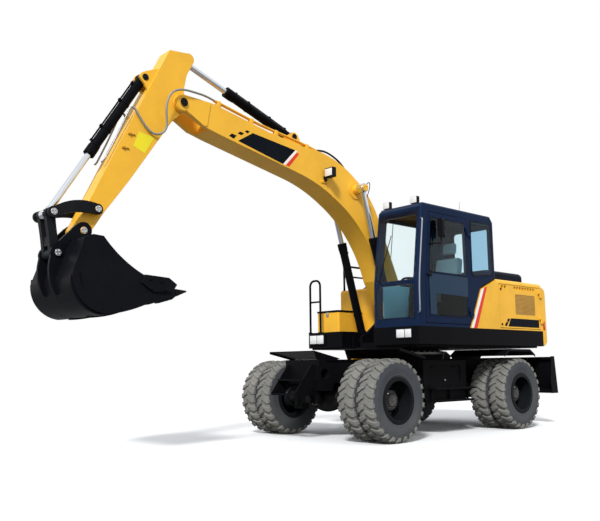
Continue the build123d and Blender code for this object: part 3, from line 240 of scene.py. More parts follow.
# a tread block from the middle out and over the shoulder: foot, crown, lean, half width
BLOCK = (((0.003, 0.498), (0.003, 0.5268), 0.000, 0.020), ((0.036, 0.498), (0.036, 0.5272), 0.008, 0.024),
         ((0.070, 0.496), (0.071, 0.5255), 0.030, 0.028), ((0.102, 0.490), (0.106, 0.5205), 0.042, 0.032),
         ((0.122, 0.480), (0.1325, 0.5035), 0.046, 0.033), ((0.131, 0.455), (0.1385, 0.466), 0.048, 0.026))
sidewall = finish("tyre sidewall", (0.044, 0.048, 0.057), 0.60, dust=(0.20, 0.20, 0.19), amount=0.34,
                  height=1.1, grain=120, relief=0.12)
tread = finish("tyre tread", (0.108, 0.108, 0.102), 0.85, dust=(0.32, 0.31, 0.28), amount=0.62, height=2.2,
               grain=90, relief=0.3)
for name in WHEELS:
    low, high = (Vector(c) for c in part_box("tyres_" + name))
    hub = (low + high) / 2
    mesh = bmesh.new()
    for y in (-PAIR_OFFSET, PAIR_OFFSET):
        section = [mesh.verts.new(hub + Vector((0, y + a, r))) for a, r in CARCASS]
        section += [mesh.verts.new(hub + Vector((0, y - a, r))) for a, r in reversed(CARCASS[:-1])]
        edges = [mesh.edges.new(pair) for pair in zip(section, section[1:] + section[:1])]
        bmesh.ops.spin(mesh, geom=section + edges, cent=hub, axis=(0, 1, 0), dvec=(0, 0, 0), angle=2 * pi,
                       steps=78, use_merge=True, use_duplicate=False)
        for face in mesh.faces:
            middle = face.calc_center_median() - hub
            radius = Vector((middle.x, middle.z)).length
            if abs(middle.y - y) < TYRE_HALF_WIDTH and radius > TREAD_FOOT:
                face.material_index = 1
        for count in range(2 * BLOCKS):
            turn, hand = pi * count / BLOCKS, 1 if count % 2 else -1
            grid = bmesh.ops.create_grid(mesh, x_segments=1, y_segments=len(BLOCK) - 1, size=1)["verts"]
            crown = {}
            for vert in grid:
                foot, top, lean, half = BLOCK[round((vert.co.y + 1) / 2 * (len(BLOCK) - 1))]
                angle = turn + (lean + half * vert.co.x) / TREAD_RADIUS
                places = [hub + Vector((radius * sin(angle), y + hand * side, radius * cos(angle)))
                          for side, radius in (foot, top)]
                vert.co = places[0]
                crown[vert.co.to_tuple(5)] = places[1]
            faces = {face for vert in grid for face in vert.link_faces}
            raised = bmesh.ops.extrude_face_region(mesh, geom=list(faces), use_keep_orig=True)["geom"]
            for vert in verts_in(raised):
                vert.co = crown[vert.co.to_tuple(5)]
            for face in {face for vert in verts_in(raised) for face in vert.link_faces} | faces:
                face.material_index = 1
    tyre = make("tyre_pair_" + name, mesh, "wheels_" + name, sidewall, tread, slot="tyre_rubber", crease=40)
    edge = tyre.modifiers.new("worn edges", "BEVEL")
    edge.width, edge.segments, edge.limit_method, edge.angle_limit = 0.003, 1, "ANGLE", radians(42)
    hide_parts("tyres_" + name)

# ---------------------------------------------------------------- rims and hubs
# Pressed steel discs and rims in black, bolted through a ring of nuts to the planetary hub, whose
# iron cover has a ring of small cap screws and a filler plug in its middle.


def paint(look, *nodes):
    """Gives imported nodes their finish."""
    for node in nodes:
        data = frame["nodes"][node].data
        data.materials.clear()
        data.materials.append(look)


def turned(mesh, centre, axis, profile, steps=48):
    """A body of revolution from (distance along the axis, radius) pairs."""
    side = axis.orthogonal().normalized()
    line = [mesh.verts.new(centre + axis * a + side * r) for a, r in profile]
    edges = [mesh.edges.new(pair) for pair in zip(line, line[1:])]
    bmesh.ops.spin(mesh, geom=line + edges, cent=centre, axis=axis, dvec=(0, 0, 0), angle=2 * pi, steps=steps,
                   use_merge=True, use_duplicate=False)
    bmesh.ops.remove_doubles(mesh, verts=mesh.verts, dist=0.00005)


def round_bar(mesh, start, end, radius, sides=20, end_radius=None):
    """A straight round bar between two points, or a taper."""
    run = end - start
    turn = run.to_track_quat("Z", "Y").to_matrix().to_4x4()
    bmesh.ops.create_cone(mesh, cap_ends=True, segments=sides, radius1=radius, depth=run.length,
                          radius2=radius if end_radius is None else end_radius,
                          matrix=Matrix.Translation((start + end) / 2) @ turn)


def bolt(mesh, seat, axis, radius, height):
    """A hexagon head on a washer."""
    round_bar(mesh, seat, seat + axis * height * 0.25, radius * 1.45, 14)
    round_bar(mesh, seat, seat + axis * height, radius, 6)


def around(count, across, up, first=0.0):
    """Directions spread evenly round a circle, which starts at one direction and turns to the other."""
    turns = [2 * pi * (step + first) / count for step in range(count)]
    return [across * cos(turn) + up * sin(turn) for turn in turns]


rim_black = finish("rim paint", (0.006, 0.007, 0.009), 0.34, dust=(0.10, 0.10, 0.09), amount=0.05, grain=90,
                   relief=0.04)
hub_iron = finish("hub iron", (0.080, 0.078, 0.076), 0.5, dust=(0.15, 0.13, 0.11), amount=0.30, grain=60,
                  relief=0.3)
zinc = finish("zinc bolts", (0.42, 0.42, 0.42), 0.4, dust=(0.3, 0.27, 0.22), amount=0.3, metal=0.8,
              relief=0.05)
AHEAD, LEFT, UP = Vector((1, 0, 0)), Vector((0, 1, 0)), Vector((0, 0, 1))
# the hub's cover as (distance from the machine's middle plane, radius), then the bolts' faces and rings
HUB_COVER = ((1.0525, 0.151), (1.0765, 0.1365), (1.137, 0.130), (1.1415, 0.128), (1.1615, 0.1005),
             (1.163, 0.078), (1.1695, 0.0745), (1.1695, 0.0))
COVER_FACE, COVER_RING = 1.160, 0.094
NUT_FACE, NUT_RING = 1.0515, 0.175
STUD_FACE, STUD_END = 1.070, 1.088
PLUG_FACE, PLUG_END = 1.165, 1.178
for name in WHEELS:
    paint(rim_black, "rims_" + name)
    low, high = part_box("rims_" + name)
    hand = 1 if low.y > 0 else -1
    hub = Vector(((low.x + high.x) / 2, 0, (low.z + high.z) / 2))
    out = LEFT * hand
    mesh = bmesh.new()
    turned(mesh, hub, out, HUB_COVER)
    for spoke in around(12, AHEAD, UP, 0.5):
        bolt(mesh, hub + out * COVER_FACE + spoke * COVER_RING, out, 0.007, 0.009)
    make("hub_cover_" + name, mesh, "wheels_" + name, hub_iron, slot="cast_black")
    mesh = bmesh.new()
    for spoke in around(10, AHEAD, UP):
        stud = hub + spoke * NUT_RING
        bolt(mesh, stud + out * NUT_FACE, out, 0.0145, 0.024)
        round_bar(mesh, stud + out * STUD_FACE, stud + out * STUD_END, 0.009, 12)
    round_bar(mesh, hub + out * PLUG_FACE, hub + out * PLUG_END, 0.016, 6)
    make("wheel_nuts_" + name, mesh, "wheels_" + name, hub_iron, slot="cast_black")
    mesh = bmesh.new()
    round_bar(mesh, hub + out * 1.262 + Vector((0.225, 0, 0.10)),
              hub + out * 1.285 + Vector((0.2, 0, 0.09)), 0.006, 10)
    make("valve_" + name, mesh, "wheels_" + name, zinc, slot="worn_steel")

# ---------------------------------------------------------------- chassis, axles and drive
# A box frame welded from black painted plate, with cast axle housings, a bolted swing bearing and
# rubber hoses that run from the frame to the brakes and to the steering cylinder.


def at(u, y, z):
    """A place by its station ahead of the swing axis."""
    return Vector((SWING_X + u, y, z))


def block(mesh, low, high, edge=0.0):
    """A rectangular piece between two corners, its edges rounded a little."""
    low, high = at(*low), at(*high)
    made = bmesh.ops.create_cube(mesh, size=1)["verts"]
    bmesh.ops.scale(mesh, vec=high - low, verts=made)
    bmesh.ops.translate(mesh, vec=(low + high) / 2, verts=made)
    if edge:
        bmesh.ops.bevel(mesh, geom=list({e for v in made for e in v.link_edges}), offset=edge, affect="EDGES",
                        segments=2, profile=0.5, material=-1)


def side_block(mesh, hand, low, high, edge=0.0):
    """A rectangular piece on one side, with its y measured out from the middle plane."""
    y0, y1 = sorted((hand * low[1], hand * high[1]))
    block(mesh, (low[0], y0, low[2]), (high[0], y1, high[2]), edge)


def side_bar(mesh, hand, u, z, y0, y1, radius, sides=20):
    """A short round bar that lies across one side, from one distance off the middle plane to another."""
    round_bar(mesh, at(u, hand * y0, z), at(u, hand * y1, z), radius, sides)


def mirrored(route, hand):
    """The points of a route on one side of the machine."""
    return [(u, hand * y, z) for u, y, z in route]


def pin(name):
    """A joint's pin, as (station, height)."""
    x, _, z = JOINTS[name]["pos_m"]
    return x - SWING_X, z


def hose(name, points, radius, body, *finishes, slot=None, stiff=3, sides=3):
    """A hose or a bent pipe along points, as a mesh."""
    curve = bpy.data.curves.new(name, "CURVE")
    curve.dimensions = "3D"
    line = curve.splines.new("NURBS")
    line.points.add(len(points) - 1)
    for knot, point in zip(line.points, points):
        knot.co = (*at(*point), 1)
    line.use_endpoint_u = True
    line.order_u = stiff
    line.resolution_u = 8
    curve.bevel_depth, curve.bevel_resolution, curve.use_fill_caps = radius, sides, True
    drawn = linked(name + "_line", curve)
    bpy.context.view_layer.update()
    data = bpy.data.meshes.new_from_object(drawn.evaluated_get(bpy.context.evaluated_depsgraph_get()))
    bpy.data.objects.remove(drawn)
    data.name = name
    data.materials.clear()
    return piece(name, data, body, finishes)


BOTH = (1, -1)
SIDES = ((1, "left"), (-1, "right"))
FRONT_AXLE, HUB_Z = pin("wheel_front_left")
REAR_AXLE = pin("wheel_rear_left")[0]
RING_BOLTS, RING_BOLT_Z = 0.572, 1.155
frame_black = finish("frame black", (0.0032, 0.0034, 0.0048), 0.34, dust=(0.08, 0.07, 0.06), amount=0.05,
                     height=1.5, grain=80, relief=0.05, specular=0.03)
cast_black = finish("cast black", (0.007, 0.008, 0.010), 0.42, dust=(0.09, 0.08, 0.07), amount=0.14,
                    height=1.2, grain=55, relief=0.35)
bare_steel = finish("bare steel", (0.30, 0.29, 0.28), 0.42, dust=(0.16, 0.12, 0.09), amount=0.45, height=1.0,
                    grain=60, relief=0.2, metal=0.85)
rubber_hose = finish("hose rubber", (0.012, 0.012, 0.013), 0.55, dust=(0.12, 0.11, 0.10), amount=0.2,
                     relief=0.1)
paint(frame_black, "chassis_frame", "fenders", "side_steps", "front_step")
paint(cast_black, "front_axle", "rear_axle", "drive_line", "knuckle_left", "knuckle_right")
paint(bare_steel, "swing_ring")
mesh = bmesh.new()
for spoke in around(36, AHEAD, LEFT):
    bolt(mesh, at(0, 0, RING_BOLT_Z) + spoke * RING_BOLTS, UP, 0.012, 0.018)
make("swing_ring_bolts", mesh, "undercarriage", bare_steel, slot="worn_steel")
mesh = bmesh.new()
for station, radius in ((FRONT_AXLE + 0.246, 0.080), (REAR_AXLE + 0.231, 0.085)):
    for spoke in around(12, LEFT, UP):
        bolt(mesh, at(station, 0, HUB_Z) + spoke * radius, AHEAD, 0.008, 0.010)
make("axle_bolts", mesh, "undercarriage", bare_steel, slot="worn_steel")
STEERING_HOSE = ((1.475, 0.26, 0.56), (1.44, 0.27, 0.66), (1.40, 0.30, 0.74), (1.36, 0.352, 0.80),
                 (1.25, 0.352, 0.86))
BRAKE_HOSE = ((-1.10, 0.50, 0.61), (-1.06, 0.47, 0.72), (-1.02, 0.40, 0.80), (-0.98, 0.352, 0.84))
AXLE_PIPE = ((-1.10, 0.50, 0.612), (-1.10, 0.55, 0.614), (-1.10, 0.62, 0.612))
for hand, word in SIDES:
    for title, route, radius, look, slot in (
            ("steering_hose_", STEERING_HOSE, 0.010, rubber_hose, "black_plastic"),
            ("brake_hose_", BRAKE_HOSE, 0.008, rubber_hose, "black_plastic"),
            ("axle_pipe_", AXLE_PIPE, 0.006, bare_steel, "worn_steel")):
        hose(title + word, mirrored(route, hand), radius, "undercarriage", look, slot=slot)

# ---------------------------------------------------------------- boxes and steps
# Two sheet-steel boxes between the wheels, for tools and batteries. Each door has two hinges and a
# turning lock, and bolt heads hold the steps' hangers.
BOX_FACE, STEP_FACE = 0.888, 0.926
mesh = bmesh.new()
for hand in BOTH:
    y = hand * (BOX_FACE + 0.009)
    for u in (-0.05, 0.45):
        round_bar(mesh, at(u, y, 0.938), at(u + 0.07, y, 0.938), 0.009, 12)
    side_block(mesh, hand, (0.18, BOX_FACE, 0.735), (0.25, BOX_FACE + 0.010, 0.765), 0.003)
    for u in (-0.29, 0.13, 0.55):
        for z in (0.680, 0.640):
            bolt(mesh, at(u, hand * STEP_FACE, z), LEFT * hand, 0.009, 0.010)
make("box_fittings", mesh, "undercarriage", frame_black, slot="frame_black")
mesh = bmesh.new()
for hand in BOTH:
    side_bar(mesh, hand, 0.215, 0.75, BOX_FACE + 0.008, BOX_FACE + 0.016, 0.013, 24)
make("box_locks", mesh, "undercarriage", zinc, slot="worn_steel")

yellow = finish("body yellow", (0.87, 0.462, 0.036), 0.34, dust=(0.55, 0.35, 0.10), amount=0.08, height=0.9,
                grain=140, relief=0.015, specular=0.2)
mesh = bmesh.new()
for hand in BOTH:
    side_block(mesh, hand, (1.22, 0.300, 1.050), (1.52, 0.345, 1.062), 0.003)
make("hose_guides", mesh, "undercarriage", yellow, slot="body_yellow")

# ---------------------------------------------------------------- dozer blade
# A rolled plate with ribs, and a separate hard steel edge bolted along its foot.
paint(frame_black, "dozer_blade", "blade_cylinder_barrels")
EDGE_FRONT, EDGE_BACK, EDGE_HALF = -2.2665, -2.2535, 1.262
mesh = bmesh.new()
block(mesh, (EDGE_FRONT, -EDGE_HALF, 0.500), (EDGE_BACK, EDGE_HALF, 0.565), 0.003)
make("blade_edge", mesh, "blade", bare_steel, slot="worn_steel")
mesh = bmesh.new()
for count in range(13):
    bolt(mesh, at(EDGE_FRONT, -1.14 + 0.19 * count, 0.535), -AHEAD, 0.012, 0.004)
make("blade_bolts", mesh, "blade", bare_steel, slot="worn_steel")

# ---------------------------------------------------------------- counterweight, hood and doors
# A cast counterweight and folded sheet covers, painted yellow over a black frame. The doors have a
# row of cooling slots and a grille of steel mesh, flush locks, and coloured films as trim.
film_black = finish("black film", (0.004, 0.006, 0.011), 0.28, amount=0.02, relief=0.0, specular=0.02)
film_white = finish("white film", (0.86, 0.86, 0.84), 0.3, dust=(0.6, 0.55, 0.45), amount=0.05, relief=0.0)
film_red = finish("red film", (0.76, 0.050, 0.030), 0.3, amount=0.03, relief=0.0)
plastic = finish("black plastic", (0.007, 0.007, 0.008), 0.42, dust=(0.07, 0.07, 0.06), amount=0.08,
                 grain=200, relief=0.15)
grille_steel = finish("grille steel", (0.62, 0.36, 0.09), 0.5, dust=(0.2, 0.13, 0.05), amount=0.3,
                      relief=0.1)
paint(frame_black, "upper_frame", "toolbox_lid")
paint(finish("hood black", (0.0055, 0.0080, 0.016), 0.30, amount=0.03, relief=0.02, specular=0.02),
      "engine_hood")
paint(yellow, "counterweight", "hood_body", "left_side_door", "right_side_door", "fuel_tank", "toolbox")
paint(finish("engine iron", (0.10, 0.105, 0.11), 0.55, amount=0.3, relief=0.3), "engine_block")


def film(mesh, hand, y, outline, thick=0.0012, finish_index=0):
    """A thin film on an upright wall, with its outline given as (u, z)."""
    corners = [mesh.verts.new(at(u, hand * y, z)) for u, z in outline]
    face = mesh.faces.new(corners)
    face.material_index = finish_index
    raised = bmesh.ops.extrude_face_region(mesh, geom=[face], use_keep_orig=True)["geom"]
    bmesh.ops.translate(mesh, vec=(0, hand * thick, 0), verts=verts_in(raised))
    for vert in verts_in(raised):
        for face in vert.link_faces:
            face.material_index = finish_index


WALL_Y, DOOR_Y = 1.240, 1.242
MESH_Y0, MESH_Y1, WIRE = 1.228, 1.2415, 0.0032
MESH_STEP_U, MESH_STEP_Z = 0.0206, 0.0197
mesh = bmesh.new()
film(mesh, 1, WALL_Y, ((0.000, 1.484), (-0.285, 2.052), (-0.355, 2.078), (-0.058, 1.484)))
film(mesh, 1, WALL_Y, ((-0.059, 1.484), (-0.356, 2.078), (-0.434, 2.106), (-0.143, 1.484)), finish_index=1)
make("trim_stripes", mesh, "upper_structure", film_white, film_red)
for hand, word in SIDES:
    mesh = bmesh.new()
    film(mesh, hand, DOOR_Y, ((-1.03, 1.655), (-1.84, 1.655), (-1.84, 1.530), (-0.95, 1.530)))
    film(mesh, hand, DOOR_Y, ((-0.945, 1.648), (-1.01, 1.648), (-0.975, 1.600), (-0.915, 1.600)))
    film(mesh, hand, DOOR_Y, ((-0.895, 1.594), (-0.955, 1.594), (-0.912, 1.536), (-0.855, 1.536)))
    make("door_film_" + word, mesh, word + "_side_door", film_black)
    mesh = bmesh.new()
    for step in range(28):
        u = -1.738 + step * MESH_STEP_U
        side_block(mesh, hand, (u - WIRE, MESH_Y0, 1.717), (u + WIRE, MESH_Y1, 2.033))
    for step in range(16):
        z = 1.727 + step * MESH_STEP_Z
        side_block(mesh, hand, (-1.747, MESH_Y0, z - WIRE), (-1.173, MESH_Y1, z + WIRE))
    make("grille_" + word, mesh, word + "_side_door", grille_steel, slot="frame_black")
    mesh = bmesh.new()
    for u, z in ((-0.785, 2.09), (-0.785, 1.56)):
        side_bar(mesh, hand, u, z, 1.238, 1.248, 0.018, 24)
        side_block(mesh, hand, (u - 0.011, 1.246, z - 0.003), (u + 0.011, 1.251, z + 0.003), 0.001)
    make("door_locks_" + word, mesh, word + "_side_door", plastic, slot="black_plastic")
red_lens = finish("red lens", (0.55, 0.02, 0.015), 0.12, amount=0.02, relief=0.0, specular=0.5)
mesh = bmesh.new()
for hand in BOTH:
    side_block(mesh, hand, (-2.02, 1.239, 1.50), (-1.965, 1.246, 1.64), 0.003)
make("tail_reflectors", mesh, "upper_structure", red_lens, slot="lamp_glass")
for hand, word in SIDES:
    mesh = bmesh.new()
    side_block(mesh, hand, (-2.262, 0.78, 1.66), (-2.195, 0.98, 1.78), 0.008)
    make("tail_lamp_" + word, mesh, "upper_structure", red_lens, slot="lamp_glass")
mesh = bmesh.new()
for u in (-1.70, -1.30, -0.86):
    round_bar(mesh, at(u, 0, 2.410), at(u, 0, 2.416), 0.012, 6)
for y in (-0.55, 0.55):
    block(mesh, (-0.80, y - 0.06, 2.290), (-0.742, y + 0.06, 2.318), 0.006)
make("hood_latches", mesh, "engine_hood", plastic, slot="black_plastic")

# ---------------------------------------------------------------- tank, toolbox and rails
# The tank's filler, the toolbox's toggle lock and rubber buffers, and bent round bars for hands and
# feet, all bolted to the deck on small flanges.
paint(frame_black, "handrails")
DECK_Z, TANK_TOP = 1.480, 2.200
mesh = bmesh.new()
round_bar(mesh, at(-0.12, -0.86, 2.228), at(-0.12, -0.86, 2.240), 0.068, 28)
block(mesh, (-0.175, -0.868, 2.238), (-0.065, -0.852, 2.252), 0.004)
make("filler_cap", mesh, "upper_structure", plastic, slot="black_plastic")
mesh = bmesh.new()
for y in (-1.215, -0.985):
    round_bar(mesh, at(0.85, y, DECK_Z), at(0.85, y, DECK_Z + 0.008), 0.038, 20)
    for shift in (-0.026, 0.026):
        bolt(mesh, at(0.85 + shift, y, DECK_Z + 0.008), UP, 0.005, 0.006)
for u in (-0.60, 0.10):
    round_bar(mesh, at(u, -1.18, TANK_TOP), at(u, -1.18, TANK_TOP + 0.008), 0.034, 20)
make("rail_flanges", mesh, "upper_structure", frame_black, slot="frame_black")
mesh = bmesh.new()
block(mesh, (0.700, -1.00, 1.735), (0.712, -0.95, 1.805), 0.003)
round_bar(mesh, at(0.716, -0.975, 1.79), at(0.716, -0.975, 1.75), 0.007, 12)
make("toolbox_toggle", mesh, "upper_structure", zinc, slot="worn_steel")
mesh = bmesh.new()
for step in range(3):
    for row in range(4):
        u, y = 0.735 + step * 0.055, -0.93 + row * 0.115
        block(mesh, (u, y, DECK_Z), (u + 0.03, y + 0.08, DECK_Z + 0.0035), 0.001)
make("deck_tread", mesh, "upper_structure", plastic, slot="black_plastic")

# ---------------------------------------------------------------- lamps
# Halogen work lamps: a moulded housing, a pressed reflector and a ribbed glass front.
lamp_glass, tree, shader = material("lamp glass")
place = add(tree, "TexCoord").outputs["Object"]
ribs = add(tree, "TexWave", {"Vector": place, "Scale": 42, "Distortion": 0}, bands_direction="Y")
rib_bump = add(tree, "Bump", {"Height": ribs.outputs["Fac"], "Strength": 0.25, "Distance": 0.004})
ramp = add(tree, "MapRange", {"Value": ribs.outputs["Fac"], "To Min": 0.62, "To Max": 0.95})
shade = add(tree, "CombineColor", {0: ramp, 1: ramp, 2: ramp})
tree.links.new(shade.outputs[0], shader.inputs["Base Color"])
tree.links.new(rib_bump.outputs[0], shader.inputs["Normal"])
shader.inputs["Roughness"].default_value = 0.12
shader.inputs["Coat Weight"].default_value = 0.6
paint(plastic, "work_lights", "boom_light")
mesh = bmesh.new()
for y in (0.540, 1.040):
    block(mesh, (0.9695, y - 0.057, 3.198), (0.976, y + 0.057, 3.288), 0.003)
make("roof_lamp_glass", mesh, "upper_structure", lamp_glass, slot="lamp_glass")
mesh = bmesh.new()
for y0, y1 in ((0.865, 1.000), (1.012, 1.117)):
    block(mesh, (1.2015, y0, 1.333), (1.2065, y1, 1.442), 0.004)
for y0, y1 in ((-1.122, -0.975), (-0.965, -0.818)):
    block(mesh, (0.9515, y0, 1.306), (0.9570, y1, 1.434), 0.004)
make("deck_lamp_glass", mesh, "upper_structure", lamp_glass, slot="lamp_glass")
mesh = bmesh.new()
block(mesh, (1.8795, 0.228, 3.583), (1.885, 0.362, 3.687), 0.004)
make("boom_lamp_glass", mesh, "boom", lamp_glass, slot="lamp_glass")

# ---------------------------------------------------------------- cab shell, door and glazing
# Rolled steel sections welded and painted dark blue, tinted panes in black rubber, a door with a
# pull handle, a round bar to climb in by, and a wiper on the windscreen. The blue tint of the panes
# on the cab's left wall is a painted reflection, and the dark tint of the door's lower pane is painted
# shade and painted dark reflection.
cab_blue = finish("cab blue", (0.0060, 0.0155, 0.046), 0.30, dust=(0.05, 0.06, 0.08), amount=0.02,
                  relief=0.02, specular=0.04)
paint(cab_blue, "cab_frame", "cab_door")
paint(plastic, "mirrors")


def glazing(name, tint, axis, limit, far_tint):
    """Tinted glass, with another tint for the panes that lie beyond a limit on one axis. The tints also
    carry painted light: a painted reflection on the cab's left panes and painted shade on the door's lower
    pane.
    """
    made, tree, shader = material(name)
    place = add(tree, "TexCoord").outputs["Object"]
    split = add(tree, "SeparateXYZ", {0: place})
    beyond = calc(tree, "GREATER_THAN", split.outputs[axis], limit)
    tints_with_painted_light = add(tree, "MixRGB", {"Fac": beyond, "Color1": (*tint, 1), "Color2": (*far_tint, 1)})
    tree.links.new(tints_with_painted_light.outputs[0], shader.inputs["Base Color"])
    smear = add(tree, "TexNoise", {"Vector": place, "Scale": 3.5, "Detail": 5})
    haze = add(tree, "MapRange", {"Value": smear, "From Min": 0.45, "From Max": 0.8, "To Min": 0,
                                  "To Max": 0.05})
    tree.links.new(haze.outputs[0], shader.inputs["Roughness"])
    shader.inputs["Transmission Weight"].default_value = 1
    shader.inputs["IOR"].default_value = 1.2
    return made


# painted reflection: the panes beyond y 1.2, on the cab's left wall, are tinted blue for the reflections on
# them
paint(glazing("cab glass", (0.90, 0.96, 0.97), "Y", 1.2, (0.32, 0.55, 0.72)), "cab_glass")
# painted shade: the door's lower pane, below z 2.17, is tinted dark green for the dark reflections and shade
# in it
paint(glazing("door glass", (0.12, 0.20, 0.20), "Z", 2.17, (0.62, 0.80, 0.86)), "door_glass")
seal = finish("window rubber", (0.010, 0.010, 0.011), 0.6, amount=0.08, relief=0.1)


SEAL_THICK = 0.003


def frame_strip(mesh, hand, y, outline, wide):
    """A rubber strip laid along a closed outline (u, z) on an upright wall."""
    corners = [mesh.verts.new(at(u, hand * y, z)) for u, z in outline]
    face = mesh.faces.new(corners)
    inner = bmesh.ops.inset_region(mesh, faces=[face], thickness=wide, use_even_offset=True,
                                   use_boundary=True)["faces"]
    bmesh.ops.delete(mesh, geom=[face], context="FACES_ONLY")
    raised = bmesh.ops.extrude_face_region(mesh, geom=inner, use_keep_orig=True)["geom"]
    bmesh.ops.translate(mesh, vec=(0, hand * SEAL_THICK, 0), verts=verts_in(raised))


PANE_LEFT, PANE_RIGHT, DOOR_PANE = 1.2445, 0.4345, 1.2485
mesh = bmesh.new()
frame_strip(mesh, 1, PANE_LEFT, ((-0.056, 2.218), (-0.056, 3.052), (-0.584, 3.052), (-0.584, 2.268)), 0.022)
# the right-hand panes lie on the cab's side of the middle plane, so their strip is raised towards it
frame_strip(mesh, -1, -PANE_RIGHT, ((1.064, 1.596), (1.054, 2.102), (0.922, 3.044), (-0.544, 3.044),
                                    (-0.544, 2.312), (-0.168, 2.156), (0.102, 1.596)), 0.022)
make("cab_seals", mesh, "upper_structure", seal, slot="black_plastic")
mesh = bmesh.new()
for outline in (((0.950, 2.212), (0.868, 2.990), (0.072, 2.990), (0.062, 2.212)),
                ((0.960, 1.622), (0.945, 2.138), (0.060, 2.138), (0.092, 1.622))):
    frame_strip(mesh, 1, DOOR_PANE, outline, 0.020)
make("door_seals", mesh, "cab_door", seal, slot="black_plastic")
panel_blue = finish("panel blue", (0.016, 0.038, 0.072), 0.3, amount=0.02, relief=0.02, specular=0.1)
mesh = bmesh.new()
film(mesh, 1, DOOR_PANE + 0.0005, ((0.952, 2.196), (0.946, 2.136), (0.938, 1.640), (0.800, 1.640),
                                   (0.815, 1.930), (0.070, 1.920), (0.066, 2.196)), thick=0.0045)
make("door_panel", mesh, "cab_door", panel_blue, slot="cab_navy")
mesh = bmesh.new()
block(mesh, (0.905, 1.249, 2.155), (0.985, 1.266, 2.200), 0.006)
round_bar(mesh, at(0.915, 1.272, 2.178), at(0.985, 1.272, 2.178), 0.008, 12)
make("door_handle", mesh, "cab_door", plastic, slot="black_plastic")
# partly painted highlight: the rail's light grey is its metal and the bright line along the front pillar
rail_grey_and_highlight = finish("rail grey", (0.30, 0.33, 0.38), 0.22, amount=0.03, relief=0.02, metal=0.6)
CLIMBING_RAIL = ((1.165, 1.225, 1.66), (1.180, 1.262, 1.66), (1.182, 1.264, 1.70), (1.180, 1.264, 2.08),
                 (1.125, 1.264, 2.50), (1.072, 1.264, 2.90), (1.066, 1.262, 2.94), (1.050, 1.225, 2.945))
hose("climbing_rail", CLIMBING_RAIL, 0.010, "upper_structure", rail_grey_and_highlight, slot="chrome_rod", sides=5)
mesh = bmesh.new()
round_bar(mesh, at(1.172, 0.56, 2.115), at(1.200, 0.56, 2.119), 0.022, 20)
round_bar(mesh, at(1.196, 0.56, 2.120), at(1.108, 0.74, 2.76), 0.006, 8)
round_bar(mesh, at(1.122, 0.735, 2.45), at(1.066, 0.745, 2.93), 0.005, 8)
make("wiper", mesh, "upper_structure", plastic, slot="black_plastic")
mesh = bmesh.new()
round_bar(mesh, at(-0.42, 0.80, 3.178), at(-0.42, 0.80, 3.200), 0.016, 16)
round_bar(mesh, at(-0.42, 0.80, 3.195), at(-0.46, 0.80, 3.46), 0.0035, 8, end_radius=0.002)
make("antenna", mesh, "upper_structure", plastic, slot="black_plastic")
mirror_glass = finish("mirror glass", (0.75, 0.78, 0.80), 0.05, amount=0.0, relief=0.0, metal=1.0)
mesh = bmesh.new()
block(mesh, (0.7195, 1.286, 2.722), (0.7225, 1.358, 2.938), 0.001)
make("mirror_glass", mesh, "cab_door", mirror_glass, slot="chrome_rod")

# ---------------------------------------------------------------- cab interior
# A sprung seat with foam cushions under woven cloth, moulded consoles, a steering wheel on a tilting
# column, a floor mat, a roller blind under the roof and a lined wall. A dark pleated sheet on a rail
# beside the seat is painted shade, for the dark seen through the rear half of the right window.
cloth = finish("seat cloth", (0.42, 0.56, 0.60), 0.85, amount=0.15, grain=260, relief=0.5, specular=0.2)
lining = finish("cab lining", (0.12, 0.32, 0.42), 0.7, amount=0.1, grain=150, relief=0.2)
# painted shade: dark navy cloth for the sheet that darkens the right window's rear half
painted_shade_cloth = finish("painted shade cloth", (0.060, 0.200, 0.340), 0.85, amount=0.05, grain=300, relief=0.2)
floor_rubber = finish("floor rubber", (0.02, 0.02, 0.02), 0.8, amount=0.5, relief=0.4)
blind_cloth = finish("blind cloth", (0.055, 0.040, 0.028), 0.8, amount=0.1, grain=300, relief=0.3)
CAB_FLOOR = 1.521
SHADE_SHEET_Y, PLEAT, SWAY = 0.512, 0.055, 0.012
paint(plastic, "cab_controls")
mesh = bmesh.new()
block(mesh, (0.13, 0.4905, 1.56), (1.03, 0.4985, 2.10), 0.003)
make("cab_lining", mesh, "upper_structure", lining, slot="black_plastic")
# painted shade: a dark pleated sheet hung over the rear half of the right window, and its rail
mesh = bmesh.new()
pleats = bmesh.ops.create_grid(mesh, x_segments=96, y_segments=3, size=1)["verts"]
for vert in pleats:
    u, z = -0.13 + 0.33 * vert.co.x, 2.63 + 0.41 * vert.co.y
    vert.co = at(u, SHADE_SHEET_Y + SWAY * (1.1 - 0.3 * vert.co.y) * sin(2 * pi * u / PLEAT), z)
bmesh.ops.solidify(mesh, geom=mesh.faces[:], thickness=0.002)
make("side_shade_sheet", mesh, "upper_structure", painted_shade_cloth, slot="seat_cloth")
mesh = bmesh.new()
round_bar(mesh, at(-0.50, SHADE_SHEET_Y, 3.052), at(0.92, SHADE_SHEET_Y, 3.052), 0.008, 12)
make("shade_sheet_rail", mesh, "upper_structure", plastic, slot="black_plastic")
mesh = bmesh.new()
block(mesh, (0.06, 0.50, CAB_FLOOR), (1.10, 1.18, CAB_FLOOR + 0.008), 0.003)
make("floor_mat", mesh, "upper_structure", floor_rubber, slot="black_plastic")
mesh = bmesh.new()
block(mesh, (0.42, 0.52, 3.062), (0.93, 1.16, 3.078), 0.006)
for u in (0.93, 0.42):
    round_bar(mesh, at(u, 0.50, 3.055), at(u, 1.18, 3.055), 0.024, 20)
make("roller_blind", mesh, "upper_structure", blind_cloth, slot="seat_cloth")


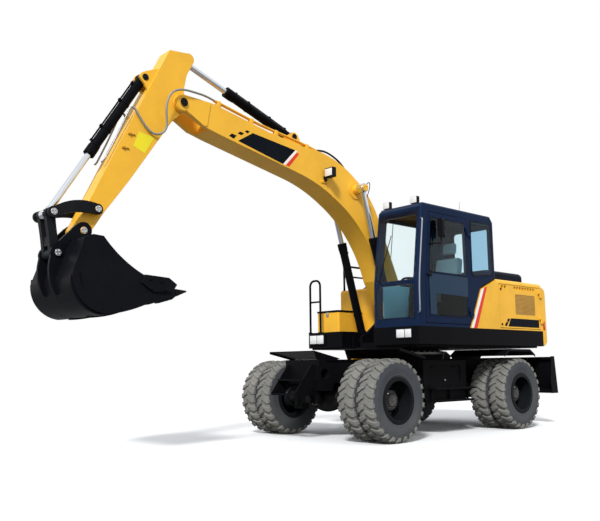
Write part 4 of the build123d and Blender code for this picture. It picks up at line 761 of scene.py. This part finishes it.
def cushion(name, low, high, lean, puff):
    """A crowned cushion with a welt round its edge, leaning back by an angle."""
    low, high = at(*low), at(*high)
    half = (high - low) / 2
    flat = half.z < half.x
    mesh = bmesh.new()
    made = bmesh.ops.create_cube(mesh, size=1)["verts"]
    bmesh.ops.scale(mesh, vec=high - low, verts=made)
    bmesh.ops.bevel(mesh, geom=mesh.edges[:], offset=0.028, affect="EDGES", segments=2, profile=0.6,
                    material=-1)
    bmesh.ops.subdivide_edges(mesh, edges=mesh.edges[:], cuts=3, use_grid_fill=True)
    for vert in mesh.verts:
        x, y, z = (c / h for c, h in zip(vert.co, half))
        along, out = (x, z) if flat else (z, x)
        crown = (1 - min(1, abs(y)) ** 2.5) * (1 - min(1, abs(along)) ** 2.5)
        seam = 0.008 if 0.48 < abs(y) < 0.62 else 0
        if out > 0.2:
            vert.co[2 if flat else 0] += puff * crown - seam
    bmesh.ops.rotate(mesh, verts=mesh.verts, cent=(0, 0, 0), matrix=Matrix.Rotation(lean, 3, "Y"))
    bmesh.ops.translate(mesh, verts=mesh.verts, vec=(low + high) / 2)
    made = make(name, mesh, "upper_structure", cloth, slot="seat_cloth", crease=80)
    round_it = made.modifiers.new("soft", "SUBSURF")
    round_it.levels = round_it.render_levels = 1
    return made


seat_pad = cushion("seat_cushion", (0.00, 0.615, 1.835), (0.45, 1.065, 1.930), radians(-3), 0.020)
cushion("seat_back", (-0.085, 0.635, 1.945), (0.035, 1.045, 2.520), radians(-11), 0.022)
cushion("head_rest", (-0.135, 0.735, 2.595), (-0.050, 0.945, 2.755), radians(-7), 0.012)
mesh = bmesh.new()
block(mesh, (0.10, 0.68, CAB_FLOOR), (0.38, 1.00, 1.62), 0.02)
for u in (0.14, 0.34):
    block(mesh, (u - 0.03, 0.70, 1.60), (u + 0.03, 0.98, 1.79), 0.01)
block(mesh, (0.02, 0.64, 1.785), (0.43, 1.04, 1.835), 0.012)
for y in (0.80, 0.88):
    round_bar(mesh, at(-0.055, y, 2.48), at(-0.090, y, 2.62), 0.007, 10)
make("seat_base", mesh, "upper_structure", plastic, slot="black_plastic")
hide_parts("seat")

# ---------------------------------------------------------------- boom
# A box section of welded yellow plate. Steel pipes run over its back in yellow clamps and turn into
# hoses at both ends. Films with a chequered nose and two slanted bars mark its sides.
paint(yellow, "boom", "stick")
BOOM_SIDE = 0.180
# films on both sides of the boom: a finish's number and an outline as (u, z)
BOOM_FILMS = ((0, ((3.370, 3.809), (3.131, 3.961), (2.396, 3.875), (2.620, 3.642))),
              (1, ((2.616, 3.641), (2.392, 3.874), (2.351, 3.869), (2.572, 3.636))),
              (2, ((2.566, 3.635), (2.370, 3.842), (2.322, 3.838), (2.508, 3.625))),
              (0, ((3.514, 3.845), (3.470, 3.885), (3.392, 3.874), (3.437, 3.823))),
              (0, ((3.377, 3.905), (3.337, 3.938), (3.273, 3.927), (3.314, 3.894))),
              (0, ((3.262, 3.957), (3.228, 3.980), (3.182, 3.971), (3.216, 3.939))))
mesh = bmesh.new()
for hand in BOTH:
    for look, outline in BOOM_FILMS:
        film(mesh, hand, BOOM_SIDE, outline, finish_index=look)
make("boom_films", mesh, "boom", film_black, film_white, film_red)

PIPE_RUN = ((1.98, 3.955), (2.30, 4.020), (2.84, 4.085), (3.14, 4.140), (3.72, 4.262))
PIPE_INNER, PIPE_OUTER, PIPE_MIDDLE = 0.134, 0.162, 0.148
for count, y in enumerate((PIPE_INNER, PIPE_OUTER, -PIPE_INNER, -PIPE_OUTER)):
    hose(f"boom_pipe_{count}", [(u, y, z) for u, z in PIPE_RUN], 0.0125, "boom", yellow,
         slot="body_yellow", sides=4)
mesh = bmesh.new()
for u, z in ((2.16, 3.985), (2.72, 4.065), (3.14, 4.137), (3.66, 4.243)):
    for hand in BOTH:
        side_block(mesh, hand, (u - 0.028, 0.121, z - 0.062), (u + 0.028, 0.176, z + 0.024), 0.006)
        bolt(mesh, at(u, hand * PIPE_MIDDLE, z + 0.023), UP, 0.009, 0.010)
make("boom_pipe_clamps", mesh, "boom", yellow, slot="body_yellow")
# hoses on both sides of the middle plane, as (u, part of the hose's distance from it, z)
BASE_HOSE = ((2.02, 0.9, 3.958), (1.93, 0.95, 3.975), (1.80, 1, 3.985), (1.66, 1, 3.955), (1.50, 1, 3.885),
             (1.40, 1, 3.80), (1.34, 1, 3.735))
CYLINDER_HOSE = ((2.47, 1, 4.085), (2.42, 1, 4.045), (2.30, 0.9, 4.000), (2.12, 0.8, 4.02),
                 (1.95, 0.8, 3.985), (1.84, 0.8, 3.93))
for title, route, spacing, radius in (("base_hose", BASE_HOSE, PIPE_INNER, 0.014),
                                      ("cylinder_hose", CYLINDER_HOSE, 0.05, 0.013)):
    for count, hand in enumerate(BOTH):
        hose(f"{title}_{count}", [(u, hand * spacing * part, z) for u, part, z in route], radius, "boom",
             rubber_hose, slot="black_plastic")


def pin_caps(mesh, place, y, thick, radius, ring, turns, screw):
    """Round caps on both ends of a cross pin, each held by a ring of screws."""
    u, z = place
    for hand in BOTH:
        side_bar(mesh, hand, u, z, y, y + thick, radius, 28)
        for turn in turns:
            spot = at(u + ring * cos(turn), hand * (y + thick), z + ring * sin(turn))
            bolt(mesh, spot, LEFT * hand, *screw)


CAP_THICK, CAP_TURNS, CAP_SCREW = 0.006, (0.0, 2.1, 4.2), (0.008, 0.008)
BOOM_CYL_EYE, STICK_CYL_EYE, LINK_TOP = (1.230, 3.500), (4.080, 4.720), (5.753, 2.567)
mesh = bmesh.new()
for name, y, radius in (("stick_crowd", 0.2045, 0.052), ("stick_cylinder_swing", 0.0925, 0.042)):
    pin_caps(mesh, pin(name), y, CAP_THICK, radius, 0.6 * radius, CAP_TURNS, CAP_SCREW)
make("boom_pin_caps", mesh, "boom", cast_black, slot="cast_black")
mesh = bmesh.new()
pin_caps(mesh, BOOM_CYL_EYE, 0.386, 0.008, 0.052, 0.032, CAP_TURNS, CAP_SCREW)
make("boom_cylinder_caps", mesh, "boom_cylinder_rods", yellow, slot="body_yellow")
mesh = bmesh.new()
for hand in BOTH:
    side_block(mesh, hand, (1.79, BOOM_SIDE, 3.50), (1.92, BOOM_SIDE + 0.016, 3.545), 0.004)
make("lamp_foot", mesh, "boom", yellow, slot="body_yellow")
hose("lamp_lead", ((1.805, 0.27, 3.60), (1.77, 0.25, 3.57), (1.73, 0.195, 3.60), (1.70, 0.186, 3.68)),
     0.005, "boom", rubber_hose, slot="black_plastic")
hose("grease_line", ((1.16, 0.30, 3.52), (1.11, 0.33, 3.62), (1.03, 0.30, 3.60), (0.98, 0.22, 3.50),
                     (0.985, 0.186, 3.44)), 0.006, "boom", rubber_hose, slot="black_plastic")

# ---------------------------------------------------------------- hydraulic cylinders
# Honed tubes in black with a bolted gland at the open end, hard chromed rods, and steel pipes that
# feed both ends through welded ports.
chrome = finish("hard chrome", (0.66, 0.69, 0.74), 0.13, dust=(0.35, 0.33, 0.30), amount=0.04, relief=0.0,
                metal=1.0)
paint(frame_black, "boom_cylinder_barrels", "stick_cylinder_barrel", "bucket_cylinder_barrel")
paint(chrome, "boom_cylinder_rods", "stick_cylinder_rod", "bucket_cylinder_rod", "blade_cylinder_rods")
# ports and clamp bands by their distance from the base pin or from the gland, the pipe by its height
PORT_BASE, PORT_GLAND = 0.13, 0.16
BAND_BASE, BAND_GLAND, BAND_HALF = 0.42, 0.38, 0.014
PIPE_RISE = 0.014


def cylinder_trim(name, base, eye, sides_y, tube, length, body):
    """Gland screws and the feed pipe of one or two cylinders, from the base pin towards the rod's eye."""
    run = (at(eye[0], 0, eye[1]) - at(base[0], 0, base[1])).normalized()
    over = Vector((-run.z, 0, run.x))
    band = ((-BAND_HALF, tube - 0.001), (-BAND_HALF, tube + 0.005), (BAND_HALF, tube + 0.005),
            (BAND_HALF, tube - 0.001), (-BAND_HALF, tube - 0.001))
    mesh = bmesh.new()
    for y in sides_y:
        foot = at(base[0], y, base[1])
        pipe = foot + over * (tube + PIPE_RISE)
        for spoke in around(8, over, LEFT, 0.5):
            bolt(mesh, foot + run * length + spoke * (tube - 0.012), run, 0.0065, 0.004)
        for reach in (PORT_BASE, length - PORT_GLAND):
            port = foot + run * reach
            round_bar(mesh, port + over * (tube - 0.01), port + over * (tube + 0.026), 0.017, 16)
        for reach in (BAND_BASE, length - BAND_GLAND):
            turned(mesh, foot + run * reach, run, band, 32)
            round_bar(mesh, pipe + run * (reach - 0.012), pipe + run * (reach + 0.012), 0.020, 16)
        round_bar(mesh, pipe + run * PORT_BASE, pipe + run * (length - PORT_GLAND), 0.010, 12)
    make(name, mesh, body, frame_black, slot="frame_black")


cylinder_trim("boom_cylinder_trim", pin("boom_cylinder_swing"), BOOM_CYL_EYE, (0.320, -0.320), 0.060, 1.531,
              "boom_cylinder_barrels")
cylinder_trim("stick_cylinder_trim", pin("stick_cylinder_swing"), STICK_CYL_EYE, (0.0,), 0.062, 1.178,
              "stick_cylinder_barrel")
cylinder_trim("bucket_cylinder_trim", pin("bucket_cylinder_swing"), LINK_TOP, (0.0,), 0.056, 1.220,
              "bucket_cylinder_barrel")

# ---------------------------------------------------------------- stick
# A tapering box section. Pipes lie along its back to the bucket cylinder, fed by braided hoses that
# loop from the boom round the joint; pins are held by caps, and a bare plate sits on its side.
braid = finish("braided hose", (0.30, 0.31, 0.27), 0.45, dust=(0.2, 0.18, 0.14), amount=0.2, grain=400,
               relief=0.6, metal=0.4)
plate_yellow = finish("plate yellow", (0.86, 0.72, 0.03), 0.3, amount=0.03, relief=0.0)
# painted shade: the stick's clips are a darker copy of the body yellow
clip_shaded_yellow = finish("clip shaded yellow", (0.42, 0.20, 0.02), 0.4)
STICK_SIDE = 0.115
ARM_HOSE = ((3.70, 0.146, 4.258), (3.86, 0.175, 4.285), (4.03, 0.225, 4.262), (4.20, 0.238, 4.262),
            (4.34, 0.240, 4.230), (4.435, 0.232, 4.130), (4.452, 0.205, 3.960), (4.405, 0.180, 3.810),
            (4.425, 0.160, 3.700), (4.545, 0.148, 3.640), (4.655, 0.140, 3.690), (4.740, 0.134, 3.810),
            (4.815, 0.128, 3.915))
STICK_PIPE = ((4.800, 0.127, 3.895), (4.845, 0.122, 3.945), (4.885, 0.108, 3.860), (5.010, 0.100, 3.560),
              (5.125, 0.098, 3.310), (5.165, 0.085, 3.235), (5.185, 0.070, 3.225))
for hand, word in SIDES:
    loop = hose("arm_hose_" + word, mirrored(ARM_HOSE, hand), 0.0135, None, braid, slot="worn_steel",
                stiff=4, sides=4)
    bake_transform(loop)
    hose("stick_pipe_" + word, mirrored(STICK_PIPE, hand), 0.011, "stick", bare_steel, slot="worn_steel")
mesh = bmesh.new()
film(mesh, 1, STICK_SIDE, ((4.745, 3.655), (4.540, 3.625), (4.665, 3.405), (4.815, 3.470)))
make("bare_plate", mesh, "stick", plate_yellow, slot="body_yellow")
mesh = bmesh.new()
for u, z in ((4.84, 3.60), (4.915, 3.425)):
    for hand in BOTH:
        for back, front, half, rise in ((-0.045, 0.045, 0.008, 0.012), (0.010, 0.034, 0.014, 0.020)):
            side_block(mesh, hand, (u + back, STICK_SIDE, z - half), (u + front, STICK_SIDE + rise, z + half),
                       0.003)
make("stick_clips", mesh, "stick", clip_shaded_yellow, slot="body_yellow")
mesh = bmesh.new()
pin_caps(mesh, pin("bucket_cylinder_swing"), 0.0865, CAP_THICK, 0.040, 0.0, (0.0,), (0.010, 0.008))
make("stick_pin_caps", mesh, "stick", cast_black, slot="cast_black")

# ---------------------------------------------------------------- linkage
# Forged rocker arms and a cast link in black, with hardened pins whose bright ends show in collars.
paint(cast_black, "rocker_links", "bucket_link")
pin_steel = finish("pin steel", (0.50, 0.50, 0.50), 0.35, dust=(0.2, 0.16, 0.12), amount=0.3, relief=0.1,
                   metal=0.9)
END_TURNS = [0.6 + pi * count / 2 for count in range(4)]
for name, body, place, y in (("rocker_pin_ends", "stick", pin("rocker_swing"), 0.216),
                             ("link_pin_ends", "rocker_links", LINK_TOP, 0.205),
                             ("bucket_pin_ends", "stick", pin("bucket_curl"), 0.164),
                             ("link_foot_pin_ends", "bucket", pin("bucket_link_swing"), 0.173)):
    mesh = bmesh.new()
    pin_caps(mesh, place, y, 0.007, 0.036, 0.024, END_TURNS, (0.0065, 0.007))
    make(name, mesh, body, pin_steel, slot="worn_steel")

# ---------------------------------------------------------------- bucket
# Thick plate rolled and welded, with a lip, teeth and wear strips, all in black paint under a film of
# dust; bolt heads sit on its cheeks.
CHEEK_SIDE = 0.524
bucket_black = finish("bucket black", (0.0042, 0.0048, 0.0075), 0.30, dust=(0.07, 0.06, 0.05), amount=0.10,
                      height=2.6, grain=40, relief=0.10, specular=0.03)
paint(bucket_black, "bucket")
paint(finish("tooth black", (0.006, 0.007, 0.010), 0.32, dust=(0.1, 0.08, 0.07), amount=0.14, relief=0.2),
      "bucket_teeth")
mesh = bmesh.new()
for hand in BOTH:
    for u, z in ((4.80, 1.905), (4.66, 1.885), (4.79, 1.805), (4.62, 1.800)):
        bolt(mesh, at(u, hand * CHEEK_SIDE, z), LEFT * hand, 0.013, 0.014)
make("cutter_bolts", mesh, "bucket", bucket_black, slot="frame_black")
